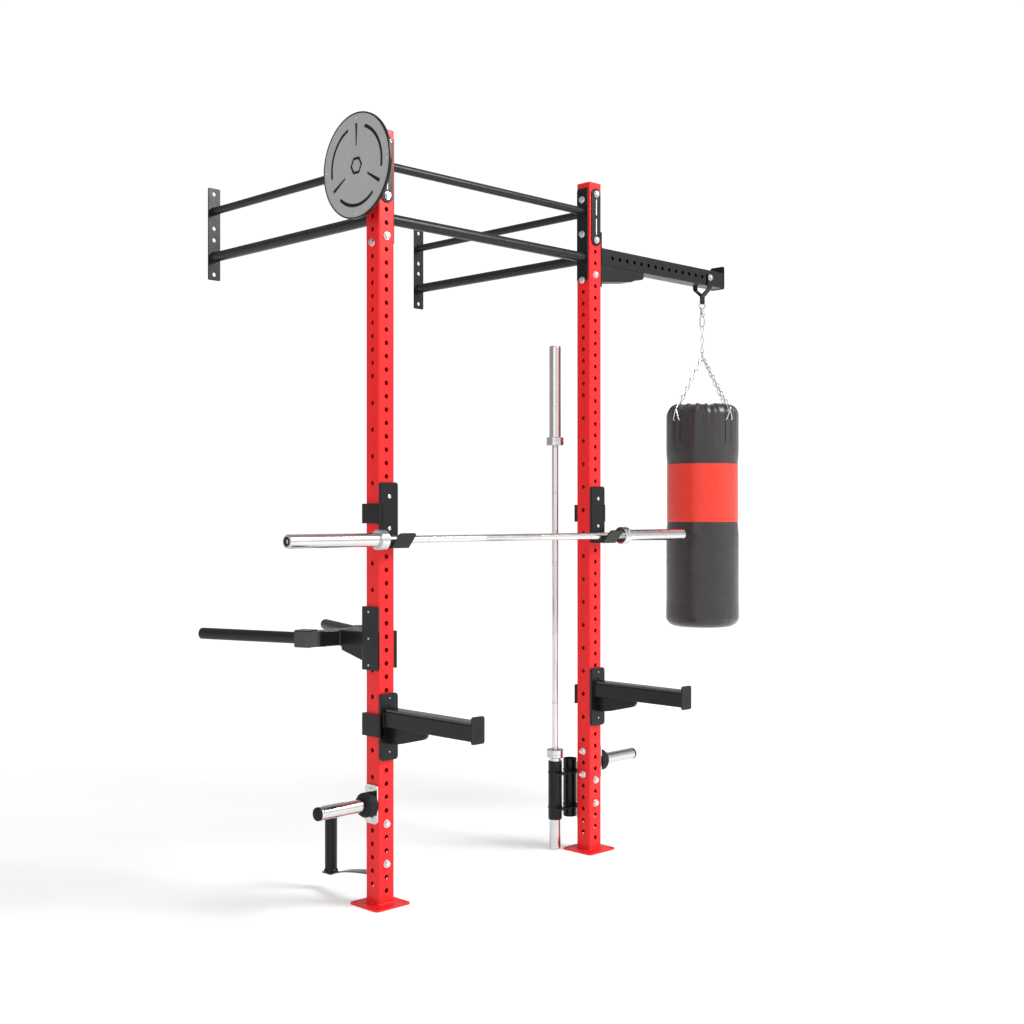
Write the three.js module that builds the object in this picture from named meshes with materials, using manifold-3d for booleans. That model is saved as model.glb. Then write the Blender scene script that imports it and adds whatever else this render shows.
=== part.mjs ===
// Wall-mounted power cage with its attachments, in millimetres, +Z up.
// Origin: underside of the left foot plate, at the centre of the left upright.
// +X runs from the left upright to the right one, +Y runs to the wall.
import * as THREE from 'three';
import { mergeGeometries, mergeVertices } from 'three/addons/utils/BufferGeometryUtils.js';
import Module from 'manifold-3d';

const wasm = await Module();
wasm.setup();

// ---- driving dimensions ----
const GAP = 0.3; // left between pieces that touch
const TUBE = 76; // square tube of the uprights and the boom
const HALF = TUBE / 2;
const WALL_THICKNESS = 3;
const PLATE = 6; // thickness of the bolted and bent plates
const SIDE_LINER = 6; // plastic between an upright and a strap round its side or back
const FRONT_LINER = 10.4; // plastic between an upright and the plate in front of it
const SPACING = 1176; // between the centres of the uprights: 1100 clear
const BASE_THICKNESS = 8;
const BASE_SIZE = 166;
const UPRIGHT_TOP = BASE_THICKNESS + 2900;
const PITCH = 50; // of every hole row
const HOLE_RADIUS = 9.2; // corner radius of the six-sided holes
const PIN_RADIUS = 7;
const FRONT_HOLE_COUNT = 57;
const LOW_SIDE_HOLES = 9; // at every pitch, then every second pitch
const HIGH_SIDE_HOLE = 38; // from here on at every pitch again
const WALL_PLANE = 1138; // y of the wall behind the cage
const BAR_PLATE_HEIGHT = 400;
const BAR_PLATE_WIDTH = 60;
const UPPER_BAR_RADIUS = 16.5;
const LOWER_BAR_RADIUS = 21.5;
const BAR_OFFSET = 100; // of each bar from the middle of its plates
const DISC_RADIUS = 197;
const DISC_X = -111;
const DISC_Z = 2758;
const BOOM_Z = 2594;
const BOOM_END = 931; // from the centre of the right upright
const BOOM_FIRST_HOLE = 114;
const BOOM_HOLE_COUNT = 15;
const BAG_X = SPACING + BOOM_FIRST_HOLE + (BOOM_HOLE_COUNT - 1) * PITCH;
const BAG_RADIUS = 170;
const BAG_BOTTOM = 933;
const BAG_TOP = 1977;
const BAR_HALF_LENGTH = 1100;
const SHAFT_RADIUS = 14;
const COLLAR_FACE = 664; // from the middle of the bar to each collar
const SLEEVE_RADIUS = 25;
const COLLAR_RADIUS = 37.5;
const COLLAR_WIDTH = 36;
const BARBELL = { x: 600, y: -104, z: 1372.3 };
const STORED_BAR = { x: 1077, y: 110 };
const EMPTY_TUBE_X = 1173;
const DIP_Z = 991;
const DIP_SPLAY = THREE.MathUtils.degToRad(19.3);
const PEG_Z = 383;
const PEG_TIP = 295;

const frontHole = (k) => BASE_THICKNESS + PITCH * (k + 1);
const sideHole = (k) => BASE_THICKNESS + PITCH * (k + 1.5);

// ---- materials ----
const material = (color, roughness, metalness) =>
  new THREE.MeshStandardMaterial({ color, roughness, metalness });
const RED = [0xd81f26, 0.35, 0.1];
const BLACK = [0x1c1d1f, 0.4, 0.2];
const SATIN = [0x17181a, 0.6, 0.0];
const GREY = [0x9a9b9d, 0.5, 0.3];
const CHROME = [0xdadcdf, 0.15, 1.0];
const LINER = [0x202123, 0.7, 0.0];
const RUBBER = [0x131313, 0.85, 0.0];
const VINYL = [0x3a3537, 0.55, 0.0];

// ---- geometry helpers ----
const AXES = {
  x: new THREE.Matrix4().makeBasis(
    new THREE.Vector3(0, 1, 0), new THREE.Vector3(0, 0, 1), new THREE.Vector3(1, 0, 0)),
  y: new THREE.Matrix4().makeBasis(
    new THREE.Vector3(1, 0, 0), new THREE.Vector3(0, 0, 1), new THREE.Vector3(0, -1, 0)),
  z: new THREE.Matrix4(),
};

function slab(x0, x1, y0, y1, z0, z1) {
  const box = new THREE.BoxGeometry(Math.abs(x1 - x0), Math.abs(y1 - y0), Math.abs(z1 - z0));
  return box.translate((x0 + x1) / 2, (y0 + y1) / 2, (z0 + z1) / 2);
}

// An outline swept along an axis. Outline points are (y, z) for x, (x, z) for y and (x, y) for z.
function prism(outline, axis, from, to, curveSegments = 3) {
  const shape = outline instanceof THREE.Shape
    ? outline
    : new THREE.Shape(outline.map(([a, b]) => new THREE.Vector2(a, b)));
  const low = Math.min(from, to);
  const high = Math.max(from, to);
  const geometry = new THREE.ExtrudeGeometry(shape, {
    depth: high - low, bevelEnabled: false, steps: 1, curveSegments,
  });
  geometry.applyMatrix4(AXES[axis]);
  const shift = axis === 'y' ? high : low;
  return geometry.translate(axis === 'x' ? shift : 0, axis === 'y' ? shift : 0, axis === 'z' ? shift : 0);
}

// A regular polygon standing for a circle, as outline points.
function ring(radius, sides, a = 0, b = 0) {
  return Array.from({ length: sides }, (_, i) => {
    const angle = (2 * Math.PI * (i + 0.5)) / sides;
    return [a + radius * Math.cos(angle), b + radius * Math.sin(angle)];
  });
}

const asPath = (points) => new THREE.Path(points.map(([a, b]) => new THREE.Vector2(a, b)));

function rod(radius, axis, from, to, a, b, sides = 12) {
  return prism(ring(radius, sides, a, b), axis, from, to);
}

function pipe(outer, inner, axis, from, to, a, b, sides = 16) {
  const shape = new THREE.Shape(ring(outer, sides, a, b).map(([u, v]) => new THREE.Vector2(u, v)));
  shape.holes.push(asPath(ring(inner, sides, a, b)));
  return prism(shape, axis, from, to);
}

// A rectangle with rounded corners, centred on (a, b), with round holes in it.
function roundedPlate(width, height, radius, a, b, holes = [], holeRadius = HOLE_RADIUS) {
  const shape = new THREE.Shape();
  const w = width / 2 - radius;
  const h = height / 2 - radius;
  const turn = Math.PI / 2;
  shape.absarc(a + w, b + h, radius, 0, turn);
  shape.absarc(a - w, b + h, radius, turn, 2 * turn);
  shape.absarc(a - w, b - h, radius, 2 * turn, 3 * turn);
  shape.absarc(a + w, b - h, radius, 3 * turn, 4 * turn);
  shape.closePath();
  holes.forEach(([u, v]) => shape.holes.push(asPath(ring(holeRadius, 6, u, v))));
  return shape;
}

// Six times the volume inside a closed indexed mesh: below zero where its faces point inwards.
function signedVolume({ attributes: { position }, index }) {
  const corner = [new THREE.Vector3(), new THREE.Vector3(), new THREE.Vector3()];
  let sum = 0;
  for (let i = 0; i < index.count; i += 3) {
    corner.forEach((point, k) => point.fromBufferAttribute(position, index.getX(i + k)));
    sum += corner[0].dot(corner[1].clone().cross(corner[2]));
  }
  return sum;
}

// A profile of [radius, height] points turned about an axis through (a, b), upside down if flipped.
function turned(profile, sides, axis, a, b, flip = false) {
  const lathe = new THREE.LatheGeometry(
    profile.map(([r, h]) => new THREE.Vector2(r, flip ? -h : h)), sides);
  lathe.rotateX(Math.PI / 2);
  if (axis === 'x') lathe.rotateY(Math.PI / 2);
  if (signedVolume(lathe) < 0) lathe.index.array.reverse();
  return axis === 'x' ? lathe.translate(0, a, b) : lathe.translate(a, b, 0);
}

function torus(radius, thickness, x, y, z) {
  const geometry = new THREE.TorusGeometry(radius, thickness, 6, 14);
  return geometry.rotateY(Math.PI / 2).translate(x, y, z);
}

function bare(geometry) {
  const copy = geometry.index ? geometry.toNonIndexed() : geometry.clone();
  copy.deleteAttribute('normal');
  copy.deleteAttribute('uv');
  return copy;
}

function solid(geometry) {
  const merged = mergeVertices(bare(geometry), 1e-4);
  return new wasm.Manifold(new wasm.Mesh({
    numProp: 3,
    vertProperties: new Float32Array(merged.attributes.position.array),
    triVerts: new Uint32Array(merged.index.array),
  }));
}

function surface(body) {
  const mesh = body.getMesh();
  const geometry = new THREE.BufferGeometry();
  geometry.setAttribute('position', new THREE.BufferAttribute(mesh.vertProperties, 3));
  geometry.setIndex(new THREE.BufferAttribute(mesh.triVerts, 1));
  return geometry;
}

function join(...geometries) {
  return surface(geometries.map(solid).reduce((whole, piece) => whole.add(piece)));
}

function cut(geometry, ...tools) {
  return surface(tools.map(solid).reduce((whole, tool) => whole.subtract(tool), solid(geometry)));
}

// Separate cutters, none touching another, taken out in one step.
const together = (geometries) => mergeGeometries(geometries.map(bare));

// ---- the cage ----
const cage = new THREE.Group();
const leftUpright = new THREE.Group();
const rightUpright = new THREE.Group();
rightUpright.position.x = SPACING;
cage.add(leftUpright, rightUpright);
const SIDES = [
  { name: 'left', out: -1, group: leftUpright },
  { name: 'right', out: 1, group: rightUpright },
];

function add(group, name, geometry, look) {
  const mesh = new THREE.Mesh(geometry, material(...look));
  mesh.name = name;
  group.add(mesh);
  return mesh;
}

function sideHoleHeights() {
  const heights = [];
  for (let k = 0; k < FRONT_HOLE_COUNT; k += 1) {
    if (k < LOW_SIDE_HOLES || k >= HIGH_SIDE_HOLE || k % 2 === 0) heights.push(sideHole(k));
  }
  return heights;
}

// A box post with chamfered corners, closed at the top, drilled through front to back and side to side.
function uprightGeometry() {
  const corner = 4;
  const h = HALF;
  const outline = [
    [h - corner, -h], [h, corner - h], [h, h - corner], [h - corner, h],
    [corner - h, h], [-h, h - corner], [-h, corner - h], [corner - h, -h],
  ];
  const inner = h - WALL_THICKNESS;
  const post = prism(outline, 'z', BASE_THICKNESS + GAP, UPRIGHT_TOP);
  const hollow = slab(-inner, inner, -inner, inner, 0, UPRIGHT_TOP - WALL_THICKNESS);
  const fronts = Array.from({ length: FRONT_HOLE_COUNT }, (_, k) =>
    rod(HOLE_RADIUS, 'y', -h - 5, h + 5, 0, frontHole(k), 6));
  const sides = sideHoleHeights().map((z) => rod(HOLE_RADIUS, 'x', -h - 5, h + 5, 0, z, 6));
  return cut(post, hollow, together([...fronts, ...sides]));
}

function basePlate() {
  const reach = BASE_SIZE / 2 - 18;
  const holes = [[reach, reach], [-reach, reach], [-reach, -reach], [reach, -reach]];
  return prism(roundedPlate(BASE_SIZE, BASE_SIZE, 14, 0, 0, holes, 6), 'z', 0, BASE_THICKNESS, 2);
}

// The two plates and two tubes that tie an upright back to the wall.
function wallBracket({ name, group }) {
  const middle = frontHole(56) - 175;
  const near = HALF + GAP;
  const bolts = [56, 52, 49].map((k) => [0, frontHole(k)]);
  const anchors = [175, 25, -25, -175].map((dz) => [0, middle + dz]);
  const rear = roundedPlate(BAR_PLATE_WIDTH, BAR_PLATE_HEIGHT, 5, 0, middle, bolts);
  const wall = roundedPlate(BAR_PLATE_WIDTH, BAR_PLATE_HEIGHT, 5, 0, middle, anchors);
  const from = near + PLATE + GAP;
  const to = WALL_PLANE - PLATE - GAP;
  add(group, `rear_plate_${name}`, prism(rear, 'y', near, near + PLATE, 1), BLACK);
  add(group, `wall_plate_${name}`, prism(wall, 'y', WALL_PLANE - PLATE, WALL_PLANE, 1), BLACK);
  [['upper', UPPER_BAR_RADIUS, BAR_OFFSET], ['lower', LOWER_BAR_RADIUS, -BAR_OFFSET]]
    .forEach(([level, radius, dz]) => add(group, `wall_bar_${level}_${name}`,
      pipe(radius, radius - WALL_THICKNESS, 'y', from, to, 0, middle + dz, 12), BLACK));
}

function crossbars() {
  const middle = sideHole(55) - 175;
  const near = HALF + GAP;
  const bolts = [55, 52, 48].map((k) => [0, sideHole(k)]);
  const plate = roundedPlate(BAR_PLATE_WIDTH, BAR_PLATE_HEIGHT, 5, 0, middle, bolts);
  SIDES.forEach(({ name, out, group }) => add(group, `cross_plate_${name}`,
    prism(plate, 'x', -out * near, -out * (near + PLATE), 1), BLACK));
  const from = near + PLATE + GAP;
  [['upper', UPPER_BAR_RADIUS, BAR_OFFSET], ['lower', LOWER_BAR_RADIUS, -BAR_OFFSET]]
    .forEach(([level, radius, dz]) => add(cage, `crossbar_${level}`,
      pipe(radius, radius - WALL_THICKNESS, 'x', from, SPACING - from, 0, middle + dz, 12), BLACK));
}

function frontPlate() {
  const bolts = [56, 52].map((k) => [0, frontHole(k)]);
  const middle = (bolts[0][1] + bolts[1][1]) / 2;
  return prism(roundedPlate(56, 250, 26, 0, middle, bolts), 'y', -HALF - GAP, -HALF - GAP - 5, 3);
}

// Polar outline in the plane of the disc, angles in degrees clockwise from the top.
function polar(radius, degrees) {
  const angle = THREE.MathUtils.degToRad(degrees);
  return [-radius * Math.sin(angle), DISC_Z + radius * Math.cos(angle)];
}

function arcSlot(radius, width, from, to) {
  const steps = 6;
  const at = (i) => from + ((to - from) * i) / steps;
  const outer = Array.from({ length: steps + 1 }, (_, i) => polar(radius + width / 2, at(i)));
  const inner = Array.from({ length: steps + 1 }, (_, i) => polar(radius - width / 2, at(steps - i)));
  return [...outer, ...inner];
}

function radialSlot(degrees, inner, outer, halfWidth) {
  return [
    polar(inner, degrees - halfWidth), polar(outer, degrees - halfWidth),
    polar(outer, degrees + halfWidth), polar(inner, degrees + halfWidth),
  ];
}

function target() {
  const thickness = 8;
  const rimWidth = 5;
  const facing = DISC_X - thickness / 2;
  const face = new THREE.Shape(ring(DISC_RADIUS - rimWidth - GAP, 32, 0, DISC_Z)
    .map(([u, v]) => new THREE.Vector2(u, v)));
  [60, 180, 300].forEach((mid) => face.holes.push(asPath(arcSlot(147, 10, mid - 41, mid + 41))));
  [0, 120, 240].forEach((at) => face.holes.push(asPath(radialSlot(at, 74, 157, 2.1))));
  add(leftUpright, 'target_disc', prism(face, 'x', facing, facing + thickness), GREY);
  add(leftUpright, 'target_rim', pipe(DISC_RADIUS, DISC_RADIUS - rimWidth, 'x',
    facing - 2, facing + thickness + 2, 0, DISC_Z, 32), BLACK);
  const back = facing + thickness + GAP;
  const foot = -HALF - GAP;
  add(leftUpright, 'target_bracket', join(
    slab(foot, foot - PLATE, -30, 30, DISC_Z - 110, DISC_Z + 110),
    slab(foot - 1, back + 1, -20, 20, DISC_Z - 20, DISC_Z + 20),
    slab(back, back + 5, -65, 65, DISC_Z - 65, DISC_Z + 65)), BLACK);
}

// A drilled arm that reaches out from the right upright and carries the heavy bag.
function boom() {
  const near = HALF + GAP;
  const from = near + PLATE + GAP;
  const inner = HALF - 4;
  const bolts = [52, 48].map((k) => [0, sideHole(k)]);
  const holes = Array.from({ length: BOOM_HOLE_COUNT }, (_, k) =>
    rod(HOLE_RADIUS, 'y', -HALF - 5, HALF + 5, BOOM_FIRST_HOLE + k * PITCH, BOOM_Z, 6));
  add(rightUpright, 'boom_arm', cut(
    slab(from, BOOM_END, -HALF, HALF, BOOM_Z - HALF, BOOM_Z + HALF),
    slab(from - 5, BOOM_END + 5, -inner, inner, BOOM_Z - inner, BOOM_Z + inner),
    together(holes)), BLACK);
  const under = BOOM_Z - HALF - GAP;
  const gusset = [
    [near, under], [near, under - 74], [from + 6, under - 74], [252, under - 49], [264, under - 40],
    [322, under - 31], [330, under - 22], [330, under],
  ];
  const pocket = gusset.map(([x, z]) => [x > 300 ? x - 4 : Math.max(x, from + 4), z === under ? z + 5 : z + 4]);
  const plate = roundedPlate(TUBE - 2, 241, 4, 0, BOOM_Z - 14, bolts);
  add(rightUpright, 'boom_mount', cut(
    join(prism(plate, 'x', near, near + PLATE, 1), prism(gusset, 'y', -HALF + 1, HALF - 1)),
    prism(pocket, 'y', -HALF + 5, HALF - 5)), BLACK);
  const end = roundedPlate(80, 110, 8, 0, BOOM_Z + 14);
  add(rightUpright, 'boom_end_plate', prism(end, 'x', BOOM_END + GAP, BOOM_END + GAP + PLATE, 1), BLACK);
}

// The bent strap that hooks an attachment round the outer side of an upright, with its locking pin.
function hookStrap(out, bottom, top, pinHeight) {
  const near = HALF + SIDE_LINER + GAP;
  const far = near + PLATE;
  const front = HALF + FRONT_LINER + GAP;
  return [
    slab(out * near, out * far, -front - PLATE, far, bottom, top),
    slab(out * 30, out * far, -front - PLATE, -front, bottom, top),
    slab(-out * 40, out * far, near, far, bottom, top),
    rod(PIN_RADIUS, 'x', out * 18, out * (near + 1), 0, pinHeight, 8),
  ];
}

// The plastic that keeps a hooked attachment off the paint, in front, beside and behind.
function hookLiner(out, front, strap, pinHeight) {
  const near = HALF + GAP;
  const far = HALF + SIDE_LINER;
  const body = join(
    slab(-38, 38, -near, -HALF - FRONT_LINER, front[0] + 2, front[1] - 2),
    slab(out * near, out * far, -HALF - FRONT_LINER, far, strap[0] + 2, strap[1] - 2),
    slab(out * 30, out * (near + 1), -HALF - FRONT_LINER, -near, strap[0] + 2, strap[1] - 2),
    slab(-out * 38, out * far, near, far, strap[0] + 2, strap[1] - 2));
  return cut(body, rod(PIN_RADIUS + 1, 'x', out * 30, out * 60, 0, pinHeight, 8));
}

// A J-shaped cradle for the barbell.
function jcup({ name, out, group }) {
  const back = -HALF - FRONT_LINER - GAP;
  const front = back - PLATE;
  const plate = [1342, 1586];
  const strap = [1432, 1506];
  const floor = 1358;
  const profile = [
    [back, plate[1]], [back, plate[0]], [-118, plate[0]], [-166, 1394], [-161.6, 1398],
    [-124.7, floor], [front, floor], [front, plate[1]],
  ];
  add(group, `jcup_${name}`,
    join(prism(profile, 'x', -42, 42), ...hookStrap(out, ...strap, sideHole(28))), BLACK);
  add(group, `jcup_liner_${name}`, hookLiner(out, plate, strap, sideHole(28)), LINER);
}

// A safety arm that sticks out in front of an upright to catch a dropped bar.
function spotter({ name, out, group }) {
  const back = -HALF - FRONT_LINER - GAP;
  const front = back - PLATE;
  const plate = [548, 798];
  const strap = [637, 720];
  add(group, `spotter_bracket_${name}`, join(
    slab(-42, 42, back, front, ...plate), ...hookStrap(out, ...strap, sideHole(12))), BLACK);
  add(group, `spotter_liner_${name}`, hookLiner(out, plate, strap, sideHole(12)), LINER);
  const root = front - GAP;
  const tip = -537;
  const wall = 4;
  const bottom = 675;
  const top = 742;
  const gusset = [[root, bottom + 1], [root, 612], [-90, 612], [-284, 653], [-294, 664], [-294, bottom + 1]];
  const shell = join(
    slab(-30, 30, root, tip + PLATE, bottom, top),
    prism(gusset, 'x', -29, 29),
    slab(-31, 31, tip, tip + PLATE, 665, 762));
  const pocket = slab(-30 + wall, 30 - wall, root + 5, tip + PLATE + 0.5, bottom + wall, top - wall);
  const lower = gusset.map(([y, z]) =>
    [y === root ? root + 5 : Math.max(y, -290), z > bottom ? bottom - 0.5 : z + wall]);
  add(group, `spotter_arm_${name}`, cut(shell, pocket, prism(lower, 'x', -25, 25)), BLACK);
}

// A dip station that hugs the left upright from behind: bracket, cross piece and two splayed handles.
function dipStation() {
  const near = HALF + GAP;
  const far = near + 2 * PLATE;
  const armEnd = 205;
  const bottom = DIP_Z - 31;
  const top = DIP_Z + 30;
  const gusset = [[near, bottom + 1], [near, 912], [70, 912], [armEnd - 5, 944], [armEnd - 5, bottom + 1]];
  const body = join(
    slab(-far, far, near, far, 883, 1120),
    slab(-far, -near, -45, far, 883, 1120),
    slab(near, far, -39, far, 888, 1028),
    slab(-30, 30, near, armEnd, bottom, top),
    prism(gusset, 'x', -5, 5),
    rod(PIN_RADIUS, 'y', 18, near + 1, 0, frontHole(19), 8));
  add(leftUpright, 'dip_bracket',
    cut(body, slab(-26, 26, far + 3, armEnd + 5, bottom + 4, top - 4)), BLACK);

  const crossHalf = 120;
  const crossEnd = 262;
  const placed = (geometry, out) => geometry.rotateZ(-out * DIP_SPLAY).translate(out * 137.5, crossEnd, 0);
  const block = (out, shrink) =>
    placed(slab(-33 + shrink, 33 - shrink, -50 + shrink, 55, bottom - 3 + shrink, top + 3 - shrink), out);
  const open = (out) => placed(slab(-28, 28, -45, 70, bottom + 2, top - 2), out);
  add(leftUpright, 'dip_yoke', cut(
    join(slab(-crossHalf, crossHalf, armEnd + GAP, crossEnd, bottom, top), block(1, 0), block(-1, 0)),
    slab(-crossHalf - 5, crossHalf + 5, armEnd + 4.5, crossEnd - 4, bottom + 4, top - 4),
    open(1), open(-1)), BLACK);
  SIDES.forEach(({ name, out }) => {
    const handle = pipe(22.5, 19.5, 'y', -40, 508.5, 0, DIP_Z);
    add(leftUpright, `dip_handle_${name}`, placed(handle, out), SATIN);
  });
}

// A chrome peg for weight plates on the outer side of an upright, with a rubber bumper at its root.
function platePeg({ name, out, group }) {
  const near = HALF + GAP;
  const face = near + PLATE;
  const bolts = [[0, sideHole(5)], [0, sideHole(7)]];
  const plate = roundedPlate(72, 146, 14, 0, PEG_Z, bolts, 8);
  const outer = 24.5;
  const inner = outer - WALL_THICKNESS;
  const tube = [
    [0, PEG_TIP], [outer, PEG_TIP], [outer, face - 1], [inner, face - 1], [inner, PEG_TIP - 4], [0, PEG_TIP - 4],
  ];
  const bore = rod(inner, 'x', out * (near - 5), out * (face + 5), 0, PEG_Z, 16);
  add(group, `plate_peg_${name}`, join(
    cut(prism(plate, 'x', out * near, out * face, 3), bore),
    turned(tube, 16, 'x', 0, PEG_Z, out < 0)), CHROME);
  const root = face + GAP;
  const bumper = [[25.6, root], [46, root], [46, 84], [38, 95], [25.6, 95], [25.6, root]];
  add(group, `peg_bumper_${name}`, turned(bumper, 16, 'x', 0, PEG_Z, out < 0), RUBBER);
}

// Two upright tubes behind the right upright, each holding a bar on end.
function barHolder() {
  const near = HALF + GAP;
  const places = [['left', STORED_BAR.x - SPACING], ['right', EMPTY_TUBE_X - SPACING]];
  const bolts = [[0, frontHole(3)], [0, frontHole(5)]];
  const back = prism(roundedPlate(60, 250, 5, 0, 258, bolts), 'y', near, near + PLATE, 1);
  const shelves = [180, 333].map((z) => slab(-136, 34, near + 1, 90, z, z + PLATE));
  const bores = places.map(([, x]) => rod(31.2, 'z', 100, 420, x, STORED_BAR.y, 16));
  add(rightUpright, 'bar_holder_bracket', cut(join(back, ...shelves), together(bores)), BLACK);
  places.forEach(([name, x]) => add(rightUpright, `bar_holder_tube_${name}`,
    pipe(30, 27.6, 'z', 131, 386, x, STORED_BAR.y), BLACK));
}

// A low foot post behind the left upright on a curved strip, with a short cross handle on top.
function lowPost() {
  const near = HALF + GAP;
  const postY = 302;
  const bolts = [[0, frontHole(2)], [0, frontHole(5)]];
  const steps = 8;
  const end = postY + 26;
  const height = (t) => 66 + 46 * (0.5 + 0.5 * Math.cos(Math.PI * Math.min(1, t * 1.3)));
  const lower = Array.from({ length: steps + 1 }, (_, i) =>
    [near + 2 + ((end - near - 2) * i) / steps, height(i / steps) - 8]);
  const upper = lower.map(([y, z]) => [y, z + 8]).reverse();
  const plate = prism(roundedPlate(BAR_PLATE_WIDTH, 250, 5, 0, 225, bolts), 'y', near, near + PLATE, 1);
  add(leftUpright, 'low_post_bracket',
    join(plate, prism([...lower, ...upper], 'x', -25, 25)), BLACK);
  add(leftUpright, 'low_post', pipe(24, 21, 'z', 66.6, 300, 0, postY), BLACK);
  add(leftUpright, 'low_post_handle', rod(14, 'x', -40, 66, postY, 314.4), CHROME);
}

// A bar along its own axis: one shaft and two sleeves that turn on its thinned ends.
const shaftProfile = [
  [0, -BAR_HALF_LENGTH + 16], [12, -BAR_HALF_LENGTH + 16], [12, -COLLAR_FACE], [SHAFT_RADIUS, -COLLAR_FACE],
  [SHAFT_RADIUS, COLLAR_FACE], [12, COLLAR_FACE], [12, BAR_HALF_LENGTH - 16], [0, BAR_HALF_LENGTH - 16],
];
const sleeveProfile = [
  [0, BAR_HALF_LENGTH - 14], [13.2, BAR_HALF_LENGTH - 14], [13.2, COLLAR_FACE + GAP],
  [COLLAR_RADIUS, COLLAR_FACE + GAP], [COLLAR_RADIUS, COLLAR_FACE + COLLAR_WIDTH],
  [SLEEVE_RADIUS, COLLAR_FACE + COLLAR_WIDTH], [SLEEVE_RADIUS, BAR_HALF_LENGTH - 2],
  [SLEEVE_RADIUS - 2, BAR_HALF_LENGTH], [0, BAR_HALF_LENGTH],
];

function olympicBar(prefix, axis, a, b, centre, ends) {
  const group = new THREE.Group();
  group.position[axis] = centre;
  cage.add(group);
  add(group, `${prefix}_shaft`, turned(shaftProfile, 12, axis, a, b), CHROME);
  ends.forEach((end, i) => add(group, `${prefix}_sleeve_${end}`,
    turned(sleeveProfile, 16, axis, a, b, i === 0), CHROME));
}

// Yoke, pin, swivel, hook, chains and bag, hung from the last hole of the boom.
function heavyBag() {
  const group = new THREE.Group();
  group.position.x = BAG_X;
  cage.add(group);
  const prong = HALF + 1.5;
  const out = prong + PLATE;
  const yoke = [
    [-out, 2611], [-out, 2541], [-3, 2506], [-3, 2470.5], [3, 2470.5], [3, 2506], [out, 2541], [out, 2611],
    [prong, 2611], [prong, 2544.5], [0, 2512.5], [-prong, 2544.5], [-prong, 2611],
  ];
  add(group, 'bag_yoke', cut(prism(yoke, 'x', -15, 15),
    rod(8, 'y', -60, 60, 0, BOOM_Z, 12), rod(7, 'y', -10, 10, 0, 2483.5, 8)), BLACK);
  const head = out + GAP;
  add(group, 'yoke_bolt', join(
    rod(7, 'y', -head - 9, head + 9, 0, BOOM_Z, 12),
    rod(12.5, 'y', -head - 9, -head, 0, BOOM_Z, 6),
    rod(12.5, 'y', head, head + 9, 0, BOOM_Z, 6)), CHROME);
  add(group, 'swivel_eye', join(torus(17, 3.5, 0, 0, 2466), rod(9, 'z', 2424, 2450, 0, 0, 10)), CHROME);
  add(group, 'snap_hook', join(
    rod(11, 'z', 2403, 2424 - GAP, 0, 0, 10), torus(20, 3.5, 0, 0, 2385)), CHROME);
  const chainTop = 2361;
  const knot = 2215;
  const rim = 160;
  const end = new THREE.Vector3(rim, 0, BAG_TOP + 12);
  const start = new THREE.Vector3(0, 0, knot);
  const span = end.clone().sub(start);
  const legs = [0, 1, 2, 3].map((i) => {
    const leg = new THREE.CylinderGeometry(4.5, 4.5, span.length(), 6);
    leg.rotateZ(Math.PI / 2).rotateY(Math.atan2(-span.z, span.x));
    leg.translate((start.x + end.x) / 2, 0, (start.z + end.z) / 2);
    return leg.rotateZ((i * Math.PI) / 2);
  });
  add(group, 'bag_chains', join(
    rod(5, 'z', knot, chainTop - GAP, 0, 0, 8), rod(15, 'z', 2208, 2232, 0, 0, 10), ...legs), CHROME);
  const bag = [
    [0, BAG_BOTTOM], [118, BAG_BOTTOM + 4], [152, BAG_BOTTOM + 20], [BAG_RADIUS, BAG_BOTTOM + 55],
    [BAG_RADIUS, BAG_TOP - 45], [160, BAG_TOP - 14], [140, BAG_TOP], [0, BAG_TOP - 6],
  ];
  add(group, 'heavy_bag', turned(bag, 24, 'z', 0, 0), VINYL);
}

SIDES.forEach((side) => {
  add(side.group, `upright_${side.name}`, uprightGeometry(), RED);
  add(side.group, `base_plate_${side.name}`, basePlate(), RED);
  wallBracket(side);
  add(side.group, `front_plate_${side.name}`, frontPlate(), BLACK);
  jcup(side);
  spotter(side);
  platePeg(side);
});
crossbars();
target();
boom();
dipStation();
barHolder();
lowPost();
olympicBar('barbell', 'x', BARBELL.y, BARBELL.z, BARBELL.x, ['left', 'right']);
olympicBar('stored_bar', 'z', STORED_BAR.x, STORED_BAR.y, BAR_HALF_LENGTH + 0.5, ['bottom', 'top']);
heavyBag();

export default cage;
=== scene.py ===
"""Looks of the wall-braced power cage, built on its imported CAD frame. Shapes are in millimetres."""
import math
import random

import bpy
from mathutils import Matrix, Vector
from mathutils.geometry import tessellate_polygon


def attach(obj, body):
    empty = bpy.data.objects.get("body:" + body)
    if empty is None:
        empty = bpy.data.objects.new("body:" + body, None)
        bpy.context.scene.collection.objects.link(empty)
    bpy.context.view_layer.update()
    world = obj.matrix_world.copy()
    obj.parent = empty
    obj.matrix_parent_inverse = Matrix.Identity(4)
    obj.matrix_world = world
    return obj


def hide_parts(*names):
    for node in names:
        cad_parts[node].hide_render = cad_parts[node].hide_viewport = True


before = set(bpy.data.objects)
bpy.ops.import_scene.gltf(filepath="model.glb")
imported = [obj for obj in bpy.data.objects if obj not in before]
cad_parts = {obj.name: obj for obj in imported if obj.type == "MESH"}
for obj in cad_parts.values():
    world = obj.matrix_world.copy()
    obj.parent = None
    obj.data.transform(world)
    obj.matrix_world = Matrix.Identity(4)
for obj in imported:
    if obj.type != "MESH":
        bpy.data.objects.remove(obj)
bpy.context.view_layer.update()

MM = 0.001
HALF = 38.0  # half the width of the uprights and the boom
PITCH = 50.0
SPACING = 1176.0
UPRIGHT_TOP = 2908.0
WALL_PLANE = 1138.0
BOOM_Z = 2594.0
BOOM_TIP = SPACING + 931.0
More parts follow.
